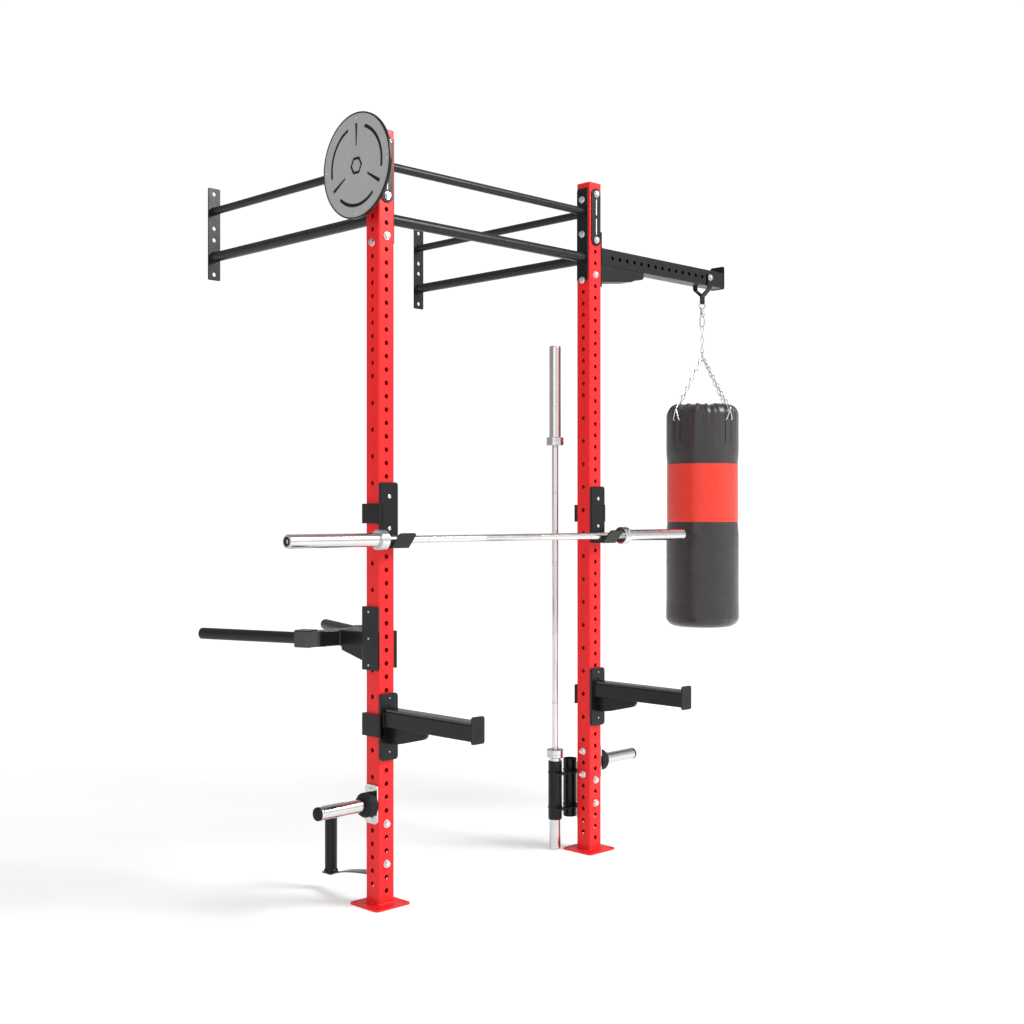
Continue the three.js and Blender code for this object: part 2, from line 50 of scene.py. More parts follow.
BAG_X = 1990.0
BAG_RADIUS = 170.0
BAG_BOTTOM, BAG_TOP = 933.0, 1977.0
BAND = (1428.0, 1703.0)
BAG_COUNT = 192  # points round the bag
DISC_Z = 2758.0
DISC_FACE = -115.0
DIP_Z = 991.0
DIP_SPLAY = math.radians(19.3)
PEG_Z = 383.0
STRAP_OUTER, STRAP_INNER = 50.3, 44.3  # faces of the bent straps, from the middle of an upright
PLATE_FRONT, PLATE_BACK = -54.7, -48.7  # the hooked plates in front of an upright
REAR_NEAR, REAR_FAR = 38.3, 44.3  # the bolted plates behind or beside an upright
BAR_LEVELS = (("upper", 16.5, 2783), ("lower", 21.5, 2583))  # radius and height of the top bars
SIDES = (("left", -1, 0.0), ("right", 1, SPACING))  # name, outward direction, middle of the upright


def front_hole(k):
    return 8 + PITCH * (k + 1)


def side_hole(k):
    return 8 + PITCH * (k + 1.5)


# ---- camera ----
def make_camera():
    data = bpy.data.cameras.new("camera")
    data.sensor_width = 36
    data.lens = 47.66
    camera = bpy.data.objects.new("camera", data)
    camera.location = (-3.2491, -3.96275, 1.47471)
    camera.rotation_euler = (math.radians(90), 0, math.radians(-44.906))
    bpy.context.scene.collection.objects.link(camera)
    bpy.context.scene.camera = camera


make_camera()


# ---- materials ----
class Look:
    """A procedural material and the record's slot it belongs to."""

    def __init__(self, name, slot, color, roughness, metallic=0.0, **sockets):
        self.slot = slot
        self.material = bpy.data.materials.new(name)
        self.material.use_nodes = True
        self.tree = self.material.node_tree
        self.shader = self.tree.nodes["Principled BSDF"]
        self.color = (*color, 1)
        self.shader.inputs["Base Color"].default_value = self.color
        self.shader.inputs["Roughness"].default_value = roughness
        self.shader.inputs["Metallic"].default_value = metallic
        for socket, value in sockets.items():
            self.shader.inputs[socket.replace("_", " ")].default_value = value
        self.place = self.tree.nodes.new("ShaderNodeTexCoord").outputs["Object"]
        self.height = None

    def node(self, kind, inputs=None, **settings):
        node = self.tree.nodes.new("ShaderNode" + kind)
        for key, value in settings.items():
            setattr(node, key, value)
        for key, value in (inputs or {}).items():
            if isinstance(value, bpy.types.NodeSocket):
                self.tree.links.new(value, node.inputs[key])
            else:
                node.inputs[key].default_value = value
        return node

    def math(self, operation, a, b=0.0):
        return self.node("Math", {0: a, 1: b}, operation=operation).outputs[0]

    def noise(self, scale, detail=2.0, stretch=(1, 1, 1)):
        place = self.place
        if stretch != (1, 1, 1):
            place = self.node("Mapping", {"Vector": place, "Scale": stretch}).outputs[0]
        return self.node("TexNoise", {"Vector": place, "Scale": scale, "Detail": detail}).outputs[0]

    def remap(self, value, low, high):
        return self.node("MapRange", {"Value": value, "From Min": 0.3, "From Max": 0.7,
                                      "To Min": low, "To Max": high}).outputs[0]

    def vary_roughness(self, scale, low, high, stretch=(1, 1, 1)):
        value = self.remap(self.noise(scale, 3.0, stretch), low, high)
        self.tree.links.new(value, self.shader.inputs["Roughness"])
        return self

    def mottle(self, other, scale, share, factor=None):
        """The base colour drifts towards another one with a noise."""
        factor = factor or self.remap(self.noise(scale, 4.0), 0.0, share)
        mix = self.node("Mix", {"Factor": factor}, data_type="RGBA")
        mix.inputs["A"].default_value = self.color
        mix.inputs["B"].default_value = (*other, 1)
        self.tree.links.new(mix.outputs["Result"], self.shader.inputs["Base Color"])
        return self

    def bump(self, height, distance, strength=1.0):
        inputs = {"Height": height, "Distance": distance, "Strength": strength}
        if self.height is not None:
            inputs["Normal"] = self.height
        self.height = self.node("Bump", inputs).outputs[0]
        self.tree.links.new(self.height, self.shader.inputs["Normal"])
        return self

    def worn_edges(self, color, share=0.5):
        """Paint rubbed thin along convex edges."""
        ridge = self.node("NewGeometry").outputs["Pointiness"]
        edge = self.node("MapRange", {"Value": ridge, "From Min": 0.53, "From Max": 0.6}).outputs[0]
        patchy = self.math("MULTIPLY", edge, self.remap(self.noise(60, 3.0), 0.0, share))
        return self.mottle(color, 0, 0, patchy)


def powder_coat(name, slot, color, edge, rough, shine=0.22):
    look = Look(name, slot, color, rough, Coat_Weight=0.05, Coat_Roughness=0.12, Specular_IOR_Level=shine)
    look.vary_roughness(25, rough - 0.04, rough + 0.06)
    look.worn_edges(edge)
    return look.bump(look.noise(420, 2.0), 0.00012, 0.35)


def polished_steel(name, slot, color, rough, stretch=(1, 1, 1)):
    look = Look(name, slot, color, rough, 1.0)
    look.vary_roughness(30, rough - 0.03, rough + 0.05, stretch)
    look.mottle([c * 0.86 for c in color], 14, 0.6)
    return look.bump(look.noise(500, 2.0, stretch), 0.00005, 0.2)


def knurled_steel(name, slot, along, centre, radius):
    """Diamond knurling round a bar that runs along x or z through centre, in metres."""
    look = Look(name, slot, (0.74, 0.735, 0.735), 0.24, 1.0)
    split = look.node("SeparateXYZ", {"Vector": look.place}).outputs
    across = [look.math("SUBTRACT", split[i], c) for i, c in centre]
    turn = look.math("MULTIPLY", look.math("ARCTAN2", *across), radius)
    length = split[along]
    slants = [look.math(way, length, turn) for way in ("ADD", "SUBTRACT")]
    waves = [look.math("SINE", look.math("MULTIPLY", slant, 2200)) for slant in slants]
    look.vary_roughness(40, 0.2, 0.26)
    look.mottle((0.7, 0.7, 0.7), 20, 0.6)
    return look.bump(look.math("MULTIPLY", *waves), 0.00008, 0.08)


def hide(name, slot, color, other, rough):
    """Grained synthetic leather."""
    look = Look(name, slot, color, rough, Sheen_Weight=0.15, Sheen_Roughness=0.5)
    look.vary_roughness(35, rough - 0.06, rough + 0.1)
    look.mottle(other, 9, 0.7)
    grain = {"Vector": look.place, "Scale": 420.0}
    cells = look.node("TexVoronoi", grain, feature="DISTANCE_TO_EDGE").outputs[0]
    look.bump(look.math("MINIMUM", cells, 0.25), 0.0002, 0.03)
    return look.bump(look.noise(16, 3.0), 0.003, 0.25)


RED = powder_coat("red powder coat", "powder_red", (0.80, 0.015, 0.017), (0.9, 0.12, 0.12), 0.3)
BLACK = powder_coat("black powder coat", "powder_black", (0.008, 0.008, 0.0085), (0.035, 0.035, 0.036), 0.3)
GLOSS = powder_coat("gloss black coat", "powder_black", (0.01, 0.01, 0.0105), (0.03, 0.03, 0.03), 0.2, 0.8)
SATIN = Look("satin grip coat", "satin_black", (0.007, 0.007, 0.0075), 0.4, Specular_IOR_Level=0.35)
SATIN.vary_roughness(60, 0.36, 0.5).mottle((0.014, 0.014, 0.015), 90, 0.6)
SATIN.bump(SATIN.noise(900, 3.0), 0.00025, 0.5)
GREY = Look("grey disc face", "target_grey", (0.37, 0.37, 0.375), 0.42)
GREY.vary_roughness(40, 0.36, 0.5).mottle((0.33, 0.33, 0.335), 12, 0.7)
GREY.bump(GREY.noise(700, 2.0), 0.00012, 0.4)
CHROME = polished_steel("chrome", "chrome", (0.67, 0.665, 0.665), 0.17)
ZINC = polished_steel("zinc plated bolts", "chrome", (0.78, 0.78, 0.77), 0.2)
LINER = Look("liner plastic", "liner_black", (0.012, 0.012, 0.013), 0.5, Specular_IOR_Level=0.4)
LINER.vary_roughness(50, 0.48, 0.62).mottle((0.02, 0.02, 0.021), 30, 0.6)
LINER.bump(LINER.noise(600, 3.0), 0.0002, 0.4)
RUBBER = Look("bumper rubber", "bumper_rubber", (0.006, 0.006, 0.006), 0.65, Specular_IOR_Level=0.3)
RUBBER.vary_roughness(45, 0.6, 0.8).mottle((0.012, 0.012, 0.012), 25, 0.6)
RUBBER.bump(RUBBER.noise(380, 4.0), 0.0003, 0.5)
VINYL = hide("charcoal vinyl", "bag_vinyl", (0.019, 0.0155, 0.0165), (0.027, 0.023, 0.024), 0.3)
BAND_VINYL = hide("red vinyl band", "bag_vinyl", (0.76, 0.028, 0.009), (0.66, 0.022, 0.008), 0.3)
WEBBING = Look("webbing", "bag_vinyl", (0.01, 0.01, 0.01), 0.8)
WEBBING.vary_roughness(80, 0.7, 0.9).mottle((0.03, 0.03, 0.03), 200, 0.7)
WEBBING.bump(WEBBING.noise(700, 1.0, (1, 1, 0.25)), 0.0005, 0.7)
PALE = Look("pale paint", "powder_black", (0.75, 0.75, 0.75), 0.45)
PALE.vary_roughness(80, 0.38, 0.55).mottle((0.6, 0.6, 0.6), 50, 0.5)


# ---- shapes: each returns (vertices, faces) in millimetres ----
def rounded(width, height, radius, cu=0.0, cv=0.0, steps=6):
    """A rectangle with rounded corners."""
    corners = ((1, 1), (-1, 1), (-1, -1), (1, -1))
    points = []
    for k, (su, sv) in enumerate(corners):
        for i in range(steps + 1):
            angle = (k + i / steps) * math.pi / 2
            points.append((cu + su * (width / 2 - radius) + radius * math.cos(angle),
                           cv + sv * (height / 2 - radius) + radius * math.sin(angle)))
    return points


def circle(radius, cu=0.0, cv=0.0, count=28):
    angles = [2 * math.pi * i / count for i in range(count)]
    return [(cu + radius * math.cos(a), cv + radius * math.sin(a)) for a in angles]


def softened(points, radii, steps=4):
    """An outline with its corners rounded: one radius for all, or one for each."""
    count = len(points)
    result = []
    for i in range(count):
        radius = radii[i] if isinstance(radii, (list, tuple)) else radii
        before, here, after = (Vector(points[(i + k) % count]) for k in (-1, 0, 1))
        a, b = before - here, after - here
        reach = min(radius, 0.45 * a.length, 0.45 * b.length)
        if reach < 0.01:
            result.append(tuple(here))
            continue
        start, end = here + a.normalized() * reach, here + b.normalized() * reach
        for s in range(steps + 1):
            t = s / steps
            result.append(tuple(start * (1 - t) ** 2 + here * 2 * t * (1 - t) + end * t * t))
    return result


def turned_way(points, clockwise):
    area = sum(a[0] * b[1] - b[0] * a[1] for a, b in zip(points, points[1:] + points[:1]))
    return list(points) if (area < 0) == clockwise else list(points)[::-1]


def inset(points, distance):
    """Every corner moved into the material, which lies on the left of the outline."""
    count = len(points)
    moved = []
    for i in range(count):
        before, here, after = (Vector(points[(i + k) % count]) for k in (-1, 0, 1))
        a, b = (here - before).normalized(), (after - here).normalized()
        na, nb = Vector((-a.y, a.x)), Vector((-b.y, b.x))
        moved.append(here + (na + nb) * (distance / max(0.35, 1 + na.dot(nb))))
    return moved


def on_axis(axis, u, v, w):
    return {"x": (w, u, v), "y": (u, w, v), "z": (u, v, w)}[axis]


def outward(verts, faces):
    """A closed shape with its faces turned outwards."""
    volume = 0.0
    for face in faces:
        a = Vector(verts[face[0]])
        for i in range(1, len(face) - 1):
            volume += a.dot(Vector(verts[face[i]]).cross(Vector(verts[face[i + 1]])))
    return verts, (faces if volume > 0 else [f[::-1] for f in faces])


def plate(outlines, axis, low, high, bevel=0.8):
    """Outlines (the first outside, the rest holes) swept along an axis, with rounded rims."""
    low, high = min(low, high), max(low, high)
    arc = [(bevel * (1 - math.sin(t)), bevel * (1 - math.cos(t))) for t in (0, math.pi / 4, math.pi / 2)]
    rings = [(d, low + w) for d, w in arc] + [(d, high - w) for d, w in reversed(arc)]
    verts, faces, starts, flat = [], [], [], []
    for k, outline in enumerate(outlines):
        points = turned_way(outline, k > 0)
        count = len(points)
        starts.append((len(verts), count))
        for distance, w in rings:
            verts += [on_axis(axis, u, v, w) for u, v in inset(points, distance)]
        base = starts[-1][0]
        for ring in range(len(rings) - 1):
            for i in range(count):
                here, along = base + ring * count + i, base + ring * count + (i + 1) % count
                faces.append((here, along, along + count, here + count))
        flat.append([Vector((u, v, 0)) for u, v in inset(points, bevel)])
    index = [(start, count, i) for start, count in starts for i in range(count)]
    points = [p for loop in flat for p in loop]
    for a, b, c in tessellate_polygon(flat):
        if (points[b] - points[a]).cross(points[c] - points[a]).z < 0:
            b, c = c, b
        near = [index[i][0] + index[i][2] for i in (c, b, a)]
        far = [index[i][0] + index[i][2] + (len(rings) - 1) * index[i][1] for i in (a, b, c)]
        faces += [tuple(near), tuple(far)]
    return outward(verts, faces)


def block(x0, x1, y0, y1, z0, z1, radius=1.0, bevel=0.8, axis="z"):
    """A box whose edges along the axis have a radius of their own."""
    xs, ys, zs = (x0, x1), (y0, y1), (z0, z1)
    spans = {"x": ys + zs + xs, "y": xs + zs + ys, "z": xs + ys + zs}[axis]
    u0, u1, v0, v1, w0, w1 = spans
    outline = rounded(abs(u1 - u0), abs(v1 - v0), radius, (u0 + u1) / 2, (v0 + v1) / 2, 4)
    return plate([outline], axis, min(w0, w1), max(w0, w1), bevel)


def eased(profile, size=0.8):
    """A profile with each of its corners cut off by a small chamfer."""
    points = [Vector(p) for p in profile]
    result = [tuple(points[0])]
    for before, here, after in zip(points, points[1:], points[2:]):
        for other in (before, after):
            way = other - here
            result.append(tuple(here + way.normalized() * min(size, 0.3 * way.length)))
    return result + [tuple(points[-1])]


def lathe(profile, axis, a, b, count=32, flip=False, chamfer=0.8):
    """A profile of (radius, height) turned about an axis through (a, b)."""
    profile = eased(profile, chamfer) if chamfer else list(profile)
    verts, faces = [], []
    for ring, (radius, height) in enumerate(profile):
        for i in range(count):
            angle = 2 * math.pi * i / count
            verts.append(on_axis(axis, a + radius * math.cos(angle), b + radius * math.sin(angle),
                                 -height if flip else height))
        if ring:
            base = (ring - 1) * count
            faces += [(base + i, base + (i + 1) % count, base + count + (i + 1) % count, base + count + i)
                      for i in range(count)]
    return outward(verts, faces)


def pipe(outer, inner, axis, low, high, a, b, count=40):
    return lathe([(inner, low), (outer, low), (outer, high), (inner, high), (inner, low)], axis, a, b, count)


def sweep(path, radius, count=10, closed=False):
    """A round wire along a path of points."""
    points = [Vector(p) for p in path]
    total = len(points)
    verts, faces = [], []
    side = None
    for i, here in enumerate(points):
        before = points[i - 1] if i or closed else here
        after = points[(i + 1) % total] if i < total - 1 or closed else here
        way = (after - before).normalized()
        if side is None:
            side = way.orthogonal().normalized()
        side = (side - way * side.dot(way)).normalized()
        other = way.cross(side)
        for k in range(count):
            angle = 2 * math.pi * k / count
            verts.append(tuple(here + side * radius * math.cos(angle) + other * radius * math.sin(angle)))
    for i in range(total if closed else total - 1):
        for k in range(count):
            a, b = i * count + k, i * count + (k + 1) % count
            c, d = (b + count) % len(verts), (a + count) % len(verts)
            faces.append((a, b, c, d))
    if not closed:
        faces += [tuple(range(count))[::-1], tuple(range(len(verts) - count, len(verts)))]
    return outward(verts, faces)


def moved(part, matrix):
    verts, faces = part
    flipped = matrix.to_3x3().determinant() < 0
    return [tuple(matrix @ Vector(v)) for v in verts], [f[::-1] if flipped else f for f in faces]


def shifted(part, x=0.0, y=0.0, z=0.0):
    return moved(part, Matrix.Translation((x, y, z)))


def pointed(position, normal):
    """The matrix that stands something built on +Z on a surface at a position."""
    return Matrix.Translation(position) @ Vector(normal).to_track_quat("Z", "Y").to_matrix().to_4x4()


def drilled_tube(low, high, holes, corner=7.0, wall=3.0, radius=9.0):
    """A square tube along z; holes gives the heights drilled through its x faces and its y faces."""
    flat = HALF - corner
    verts, faces = [], []

    def loop(turn, depth, points):
        base = len(verts)
        for a, z in points:
            x, y = ((depth, a), (-a, depth), (-depth, -a), (a, -depth))[turn]
            verts.append((x, y, z))
        return list(range(base, base + len(points)))

    def strip(first, second):
        for i in range(len(first)):
            after = (i + 1) % len(first)
            faces.append((first[i], first[after], second[after], second[i]))

    def face(turn, depth, half, drills, facing):
        loops = [[(-half, low), (half, low), (half, high), (-half, high)]]
        loops += [circle(drills[1], 0, z, 20)[::-1] for z in drills[0]]
        made = [loop(turn, depth, points) for points in loops]
        index = [i for ids in made for i in ids]
        flat_loops = [[Vector((a, z, 0)) for a, z in points] for points in loops]
        points = [p for one in flat_loops for p in one]
        for a, b, c in tessellate_polygon(flat_loops):
            turned = (points[b] - points[a]).cross(points[c] - points[a]).z > 0
            faces.append(tuple(index[i] for i in ((a, b, c) if turned == facing else (a, c, b))))
        return made[1:]

    for turn in range(4):
        heights = holes[turn % 2]
        outer = face(turn, HALF, flat, (heights, radius + 0.6), True)
        inner = face(turn, HALF - wall, HALF - wall, (heights, radius), False)
        for rim, back, z in zip(outer, inner, heights):
            lip = loop(turn, HALF - 0.6, circle(radius, 0, z, 20)[::-1])
            strip(rim, lip)
            strip(lip, back)
        arc = [(flat + corner * math.cos(t), flat + corner * math.sin(t))
               for t in (k * math.pi / 12 for k in range(7))]
        lower = [loop(turn, depth, [(a, low)])[0] for depth, a in arc]
        upper = [loop(turn, depth, [(a, high)])[0] for depth, a in arc]
        faces.extend((lower[i], lower[i + 1], upper[i + 1], upper[i]) for i in range(6))
    return verts, faces


def bolt(position, normal, stub=0.0, size=1.0):
    """A hex head on its washer; with a stub it is a nut with the end of the thread showing."""
    hexagon = circle(12.4, 0, 0, 6)
    parts = [
        lathe([(0, 0), (15.2, 0), (15.2, 2.6), (0, 2.6)], "z", 0, 0, 28, False, 0.7),
        plate([hexagon], "z", 2.4, 10.2, 0.9),
        lathe([(0, 9.8), (9.8, 9.8), (9.2, 11.2), (0, 11.6)], "z", 0, 0, 24, False, 0.5),
    ]
    if stub:
        parts.append(lathe([(0, 10), (6.6, 10), (6.6, 11 + stub), (0, 11 + stub)], "z", 0, 0, 20))
    place = pointed(position, normal) @ Matrix.Scale(size, 4)
    return [moved(part, place) for part in parts]


def screw(position, normal, radius=4.5):
    profile = [(0, 0), (radius, 0), (0.92 * radius, 1.5), (0.55 * radius, 2.4), (0, 2.6)]
    return moved(lathe(profile, "z", 0, 0, 20, False, 0.2), pointed(position, normal))


def piece(name, parts, look, body="frame", stands_for=None, sharp=40):
    """One object made of several closed shapes."""
    verts, faces = [], []
    for part_verts, part_faces in parts:
        base = len(verts)
        verts += [[c * MM for c in v] for v in part_verts]
        faces += [tuple(base + i for i in f) for f in part_faces]
    mesh = bpy.data.meshes.new(name)
    mesh.from_pydata(verts, [], faces)
    mesh.shade_smooth()
    mesh.set_sharp_from_angle(angle=math.radians(sharp))
    mesh.materials.append(look.material)
    obj = bpy.data.objects.new(name, mesh)
    bpy.context.scene.collection.objects.link(obj)
    normals = obj.modifiers.new("even shading", "WEIGHTED_NORMAL")
    normals.keep_sharp = True
    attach(obj, body)
    if stands_for:
        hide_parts(stands_for)
    return obj


def form(node, parts, look, body="frame", sharp=40):
    """The detailed piece that stands for a CAD node."""
    return piece(f"{node}_form", parts, look, body, node, sharp)



# ---- uprights, plates and bars ----
def side_heights():
    return [side_hole(k) for k in range(56) if k < 9 or k >= 38 or k % 2 == 0]


bolts = []  # every bolt and screw that stays with the frame

for side, out, x in SIDES:
    drills = (side_heights(), [front_hole(k) for k in range(57)])
    tube = shifted(drilled_tube(8.3, UPRIGHT_TOP - 3, drills), x)
    cap = plate([rounded(76, 76, 7, x, 0)], "z", UPRIGHT_TOP - 4, UPRIGHT_TOP, 1.4)
    bead = sweep([(x + u, v, 9.5) for u, v in rounded(77, 77, 8)], 3.2, 8, True)
    form(f"upright_{side}", [tube, cap, bead], RED, sharp=30)
    corners = [(x + sx * 65, sy * 65) for sx in (-1, 1) for sy in (-1, 1)]
    foot = plate([rounded(166, 166, 14, x, 0)] + [circle(6, u, v, 20) for u, v in corners], "z", 0, 8, 1.2)
    form(f"base_plate_{side}", [foot], RED)

    bracket_bolts = [front_hole(k) for k in (56, 52, 49)]
    rear = [rounded(60, 400, 6, x, 2683)] + [circle(9, x, z, 20) for z in bracket_bolts]
    rear = plate(rear, "y", REAR_NEAR, REAR_FAR)
    form(f"rear_plate_{side}", [rear], BLACK)
    anchors = [2683 + dz for dz in (175, 25, -25, -175)]
    wall = plate([rounded(60, 400, 6, x, 2683)] + [circle(9.2, x, z, 24) for z in anchors],
                 "y", WALL_PLANE - 6, WALL_PLANE)
    form(f"wall_plate_{side}", [wall], BLACK)
    across = plate([rounded(60, 400, 6, 0, 2683)] + [circle(9, 0, side_hole(k), 20) for k in (55, 52, 48)],
                   "x", x - out * REAR_NEAR, x - out * REAR_FAR)
    form(f"cross_plate_{side}", [across], BLACK)
    for level, radius, z in BAR_LEVELS:
        parts = [pipe(radius, radius - 3, "y", 44.6, 1131.7, x, z)]
        for y in (45.4, 1130.9):
            parts.append(sweep([(x + u, y, z + v) for u, v in circle(radius, 0, 0, 32)], 2.4, 8, True))
        form(f"wall_bar_{level}_{side}", parts, BLACK)

    front = plate([rounded(56, 250, 26, x, 2758, 10), circle(9, x, 2858, 20), circle(9, x, 2658, 20)],
                  "y", -43.3, -38.3)
    form(f"front_plate_{side}", [front], BLACK)
    stripe = [plate([rounded(5, 70, 2.4, x, 2758 + dz)], "y", -43.9, -43.2, 0.2) for dz in (-42, 42)]
    piece(f"front_plate_{side}_stripes", stripe, PALE)

    for z in (2858, 2658):
        bolts += bolt((x, -43.3, z), (0, -1, 0))
    bolts += bolt((x, -38, 2508), (0, -1, 0))
    for z in bracket_bolts:
        bolts += bolt((x, 44.3, z), (0, 1, 0), 8)
    for k in (55, 52, 48):
        z = side_hole(k)
        outer = 44.3 if (out < 0 and k != 48) or (out > 0 and k != 55) else HALF
        nut_side = (x + HALF + 0.3 + 6, 0, z) if out < 0 else (x + outer, 0, z)
        head_side = (x - outer, 0, z) if out < 0 else (x - 44.3, 0, z)
        bolts += bolt(head_side, (-1, 0, 0)) + bolt(nut_side, (1, 0, 0), 8)

for level, radius, z in BAR_LEVELS:
    parts = [pipe(radius, radius - 3, "x", 44.6, SPACING - 44.6, 0, z)]
    for x in (45.4, SPACING - 45.4):
        parts.append(sweep([(x, u, z + v) for u, v in circle(radius, 0, 0, 32)], 2.4, 8, True))
    form(f"crossbar_{level}", parts, BLACK)


# ---- round target ----
def polar(radius, degrees):
    """A point on the disc, in degrees clockwise from the top as seen from its face."""
    angle = math.radians(degrees)
    return -radius * math.sin(angle), DISC_Z + radius * math.cos(angle)


def arc_slot(radius, width, start, end, steps=24):
    angles = [start + (end - start) * i / steps for i in range(steps + 1)]
    outer = [polar(radius + width / 2, a) for a in angles]
    return outer + [polar(radius - width / 2, a) for a in reversed(angles)]


def wedge_slot(degrees, inner, outer, half_width):
    return [polar(inner, degrees - half_width), polar(outer, degrees - half_width),
            polar(outer, degrees + half_width), polar(inner, degrees + half_width)]


slots = [softened(arc_slot(147, 13, mid - 41, mid + 41), 4) for mid in (60, 180, 300)]
slots += [wedge_slot(at, 74, 157, 2.7) for at in (0, 120, 240)]
emblem = [circle(36, 0, DISC_Z, 6), circle(24, 0, DISC_Z, 6)]
face = plate([circle(191.7, 0, DISC_Z, 96)] + slots + emblem[:1], "x", DISC_FACE, DISC_FACE + 4, 0.7)
inlay = plate([emblem[1]], "x", DISC_FACE, DISC_FACE + 4, 0.7)
form("target_disc", [face, inlay], GREY)
backing = plate([circle(191.7, 0, DISC_Z, 96)], "x", DISC_FACE + 4, DISC_FACE + 8, 0.6)
piece("target_backing", [backing], BLACK)
rim_profile = [(192, -117), (194.5, -117), (197, -115), (197, -106), (195.5, -105), (192, -105), (192, -117)]
form("target_rim", [lathe(rim_profile, "x", 0, DISC_Z, 96, False, 0.6)], BLACK)
mount = [
    block(-44.3, -38.3, -30, 30, DISC_Z - 110, DISC_Z + 110, 5, 0.8, "x"),
    block(-106.7, -43.8, -20, 20, DISC_Z - 20, DISC_Z + 20, 4, 0.6, "x"),
    block(-106.7, -101.7, -65, 65, DISC_Z - 65, DISC_Z + 65, 10, 0.8, "x"),
]
form("target_bracket", mount, BLACK)
rivets = [screw((DISC_FACE, *polar(177, at)), (-1, 0, 0), 5) for at in (0, 90, 180, 270)]


# ---- boom ----
boom_holes = [1290 + k * PITCH for k in range(15)]
turn_to_x = Matrix.Translation((0, 0, BOOM_Z)) @ Matrix.Rotation(math.pi / 2, 4, "Y")
boom = moved(drilled_tube(SPACING + 44.6, BOOM_TIP, ([], boom_holes), 6, 4), turn_to_x)
form("boom_arm", [boom], BLACK, sharp=30)
mount_x = SPACING + 38.3
under = BOOM_Z - HALF - 0.3
gusset = [(mount_x + 5, under), (mount_x + 5, under - 73), (SPACING + 50, under - 74),
          (SPACING + 252, under - 49), (SPACING + 264, under - 40), (SPACING + 322, under - 31),
          (SPACING + 330, under - 22), (SPACING + 330, under)]
shell = [plate([gusset], "y", sy * 37, sy * 33, 0.6) for sy in (-1, 1)]
for (xa, za), (xb, zb) in zip(gusset[1:], gusset[2:]):
    shell.append(plate([[(xa, za), (xb, zb), (xb, zb + 4), (xa, za + 4)]], "y", -33.5, 33.5, 0.2))
plate_bolts = [circle(9, 0, side_hole(k), 20) for k in (52, 48)]
shell.append(plate([rounded(74, 241, 5, 0, 2580)] + plate_bolts, "x", mount_x, mount_x + 6))
shell.append(sweep([(mount_x + 6.5, u, BOOM_Z + v) for u, v in rounded(77, 77, 6)], 2.4, 8, True))
form("boom_mount", shell, BLACK)
tip = plate([rounded(80, 110, 9, 0, BOOM_Z + 14)], "x", BOOM_TIP + 0.3, BOOM_TIP + 6.3, 0.9)
form("boom_end_plate", [tip], BLACK)


# ---- attachments hooked onto the uprights ----
def hook_strap(out, x, bottom, top):
    """The bent steel strap round the front, outer side and back of an upright."""
    outline = [(26, PLATE_FRONT), (STRAP_OUTER, PLATE_FRONT), (STRAP_OUTER, STRAP_OUTER), (-40, STRAP_OUTER),
               (-40, STRAP_INNER), (STRAP_INNER, STRAP_INNER), (STRAP_INNER, PLATE_BACK), (26, PLATE_BACK)]
    rounding = [1, 8, 8, 2, 2, 2, 2, 1]
    outline = [(x + out * u, v) for u, v in softened(outline, rounding)]
    return plate([outline], "z", bottom, top, 0.7)


def hook_liner(out, x, front, strap):
    """Plastic between the steel and the paint."""
    side = sorted((x + out * 38.3, x + out * 44))
    back = sorted((x - out * 38, x + out * 44))
    wrap = sorted((x + out * 28, x + out * 43.8))
    return [
        block(x - 38, x + 38, -48.4, -38.3, front[0] + 2, front[1] - 2, 8, 0.8, "y"),
        block(*side, -48.4, 44, strap[0] + 2, strap[1] - 2, 1, 0.5),
        block(*back, 38.3, 44, strap[0] + 2, strap[1] - 2, 1, 0.5),
        block(*wrap, -48.4, -38.6, strap[0] + 2, strap[1] - 2, 1, 0.5),
    ]


def lock_pin(out, x, z):
    """The pin inside the strap that goes into the upright."""
    profile = [(0, 18), (6, 18), (7, 20), (7, 45), (0, 45)]
    return [shifted(lathe(profile, "x", 0, z, 24, out < 0, 0.4), x)]


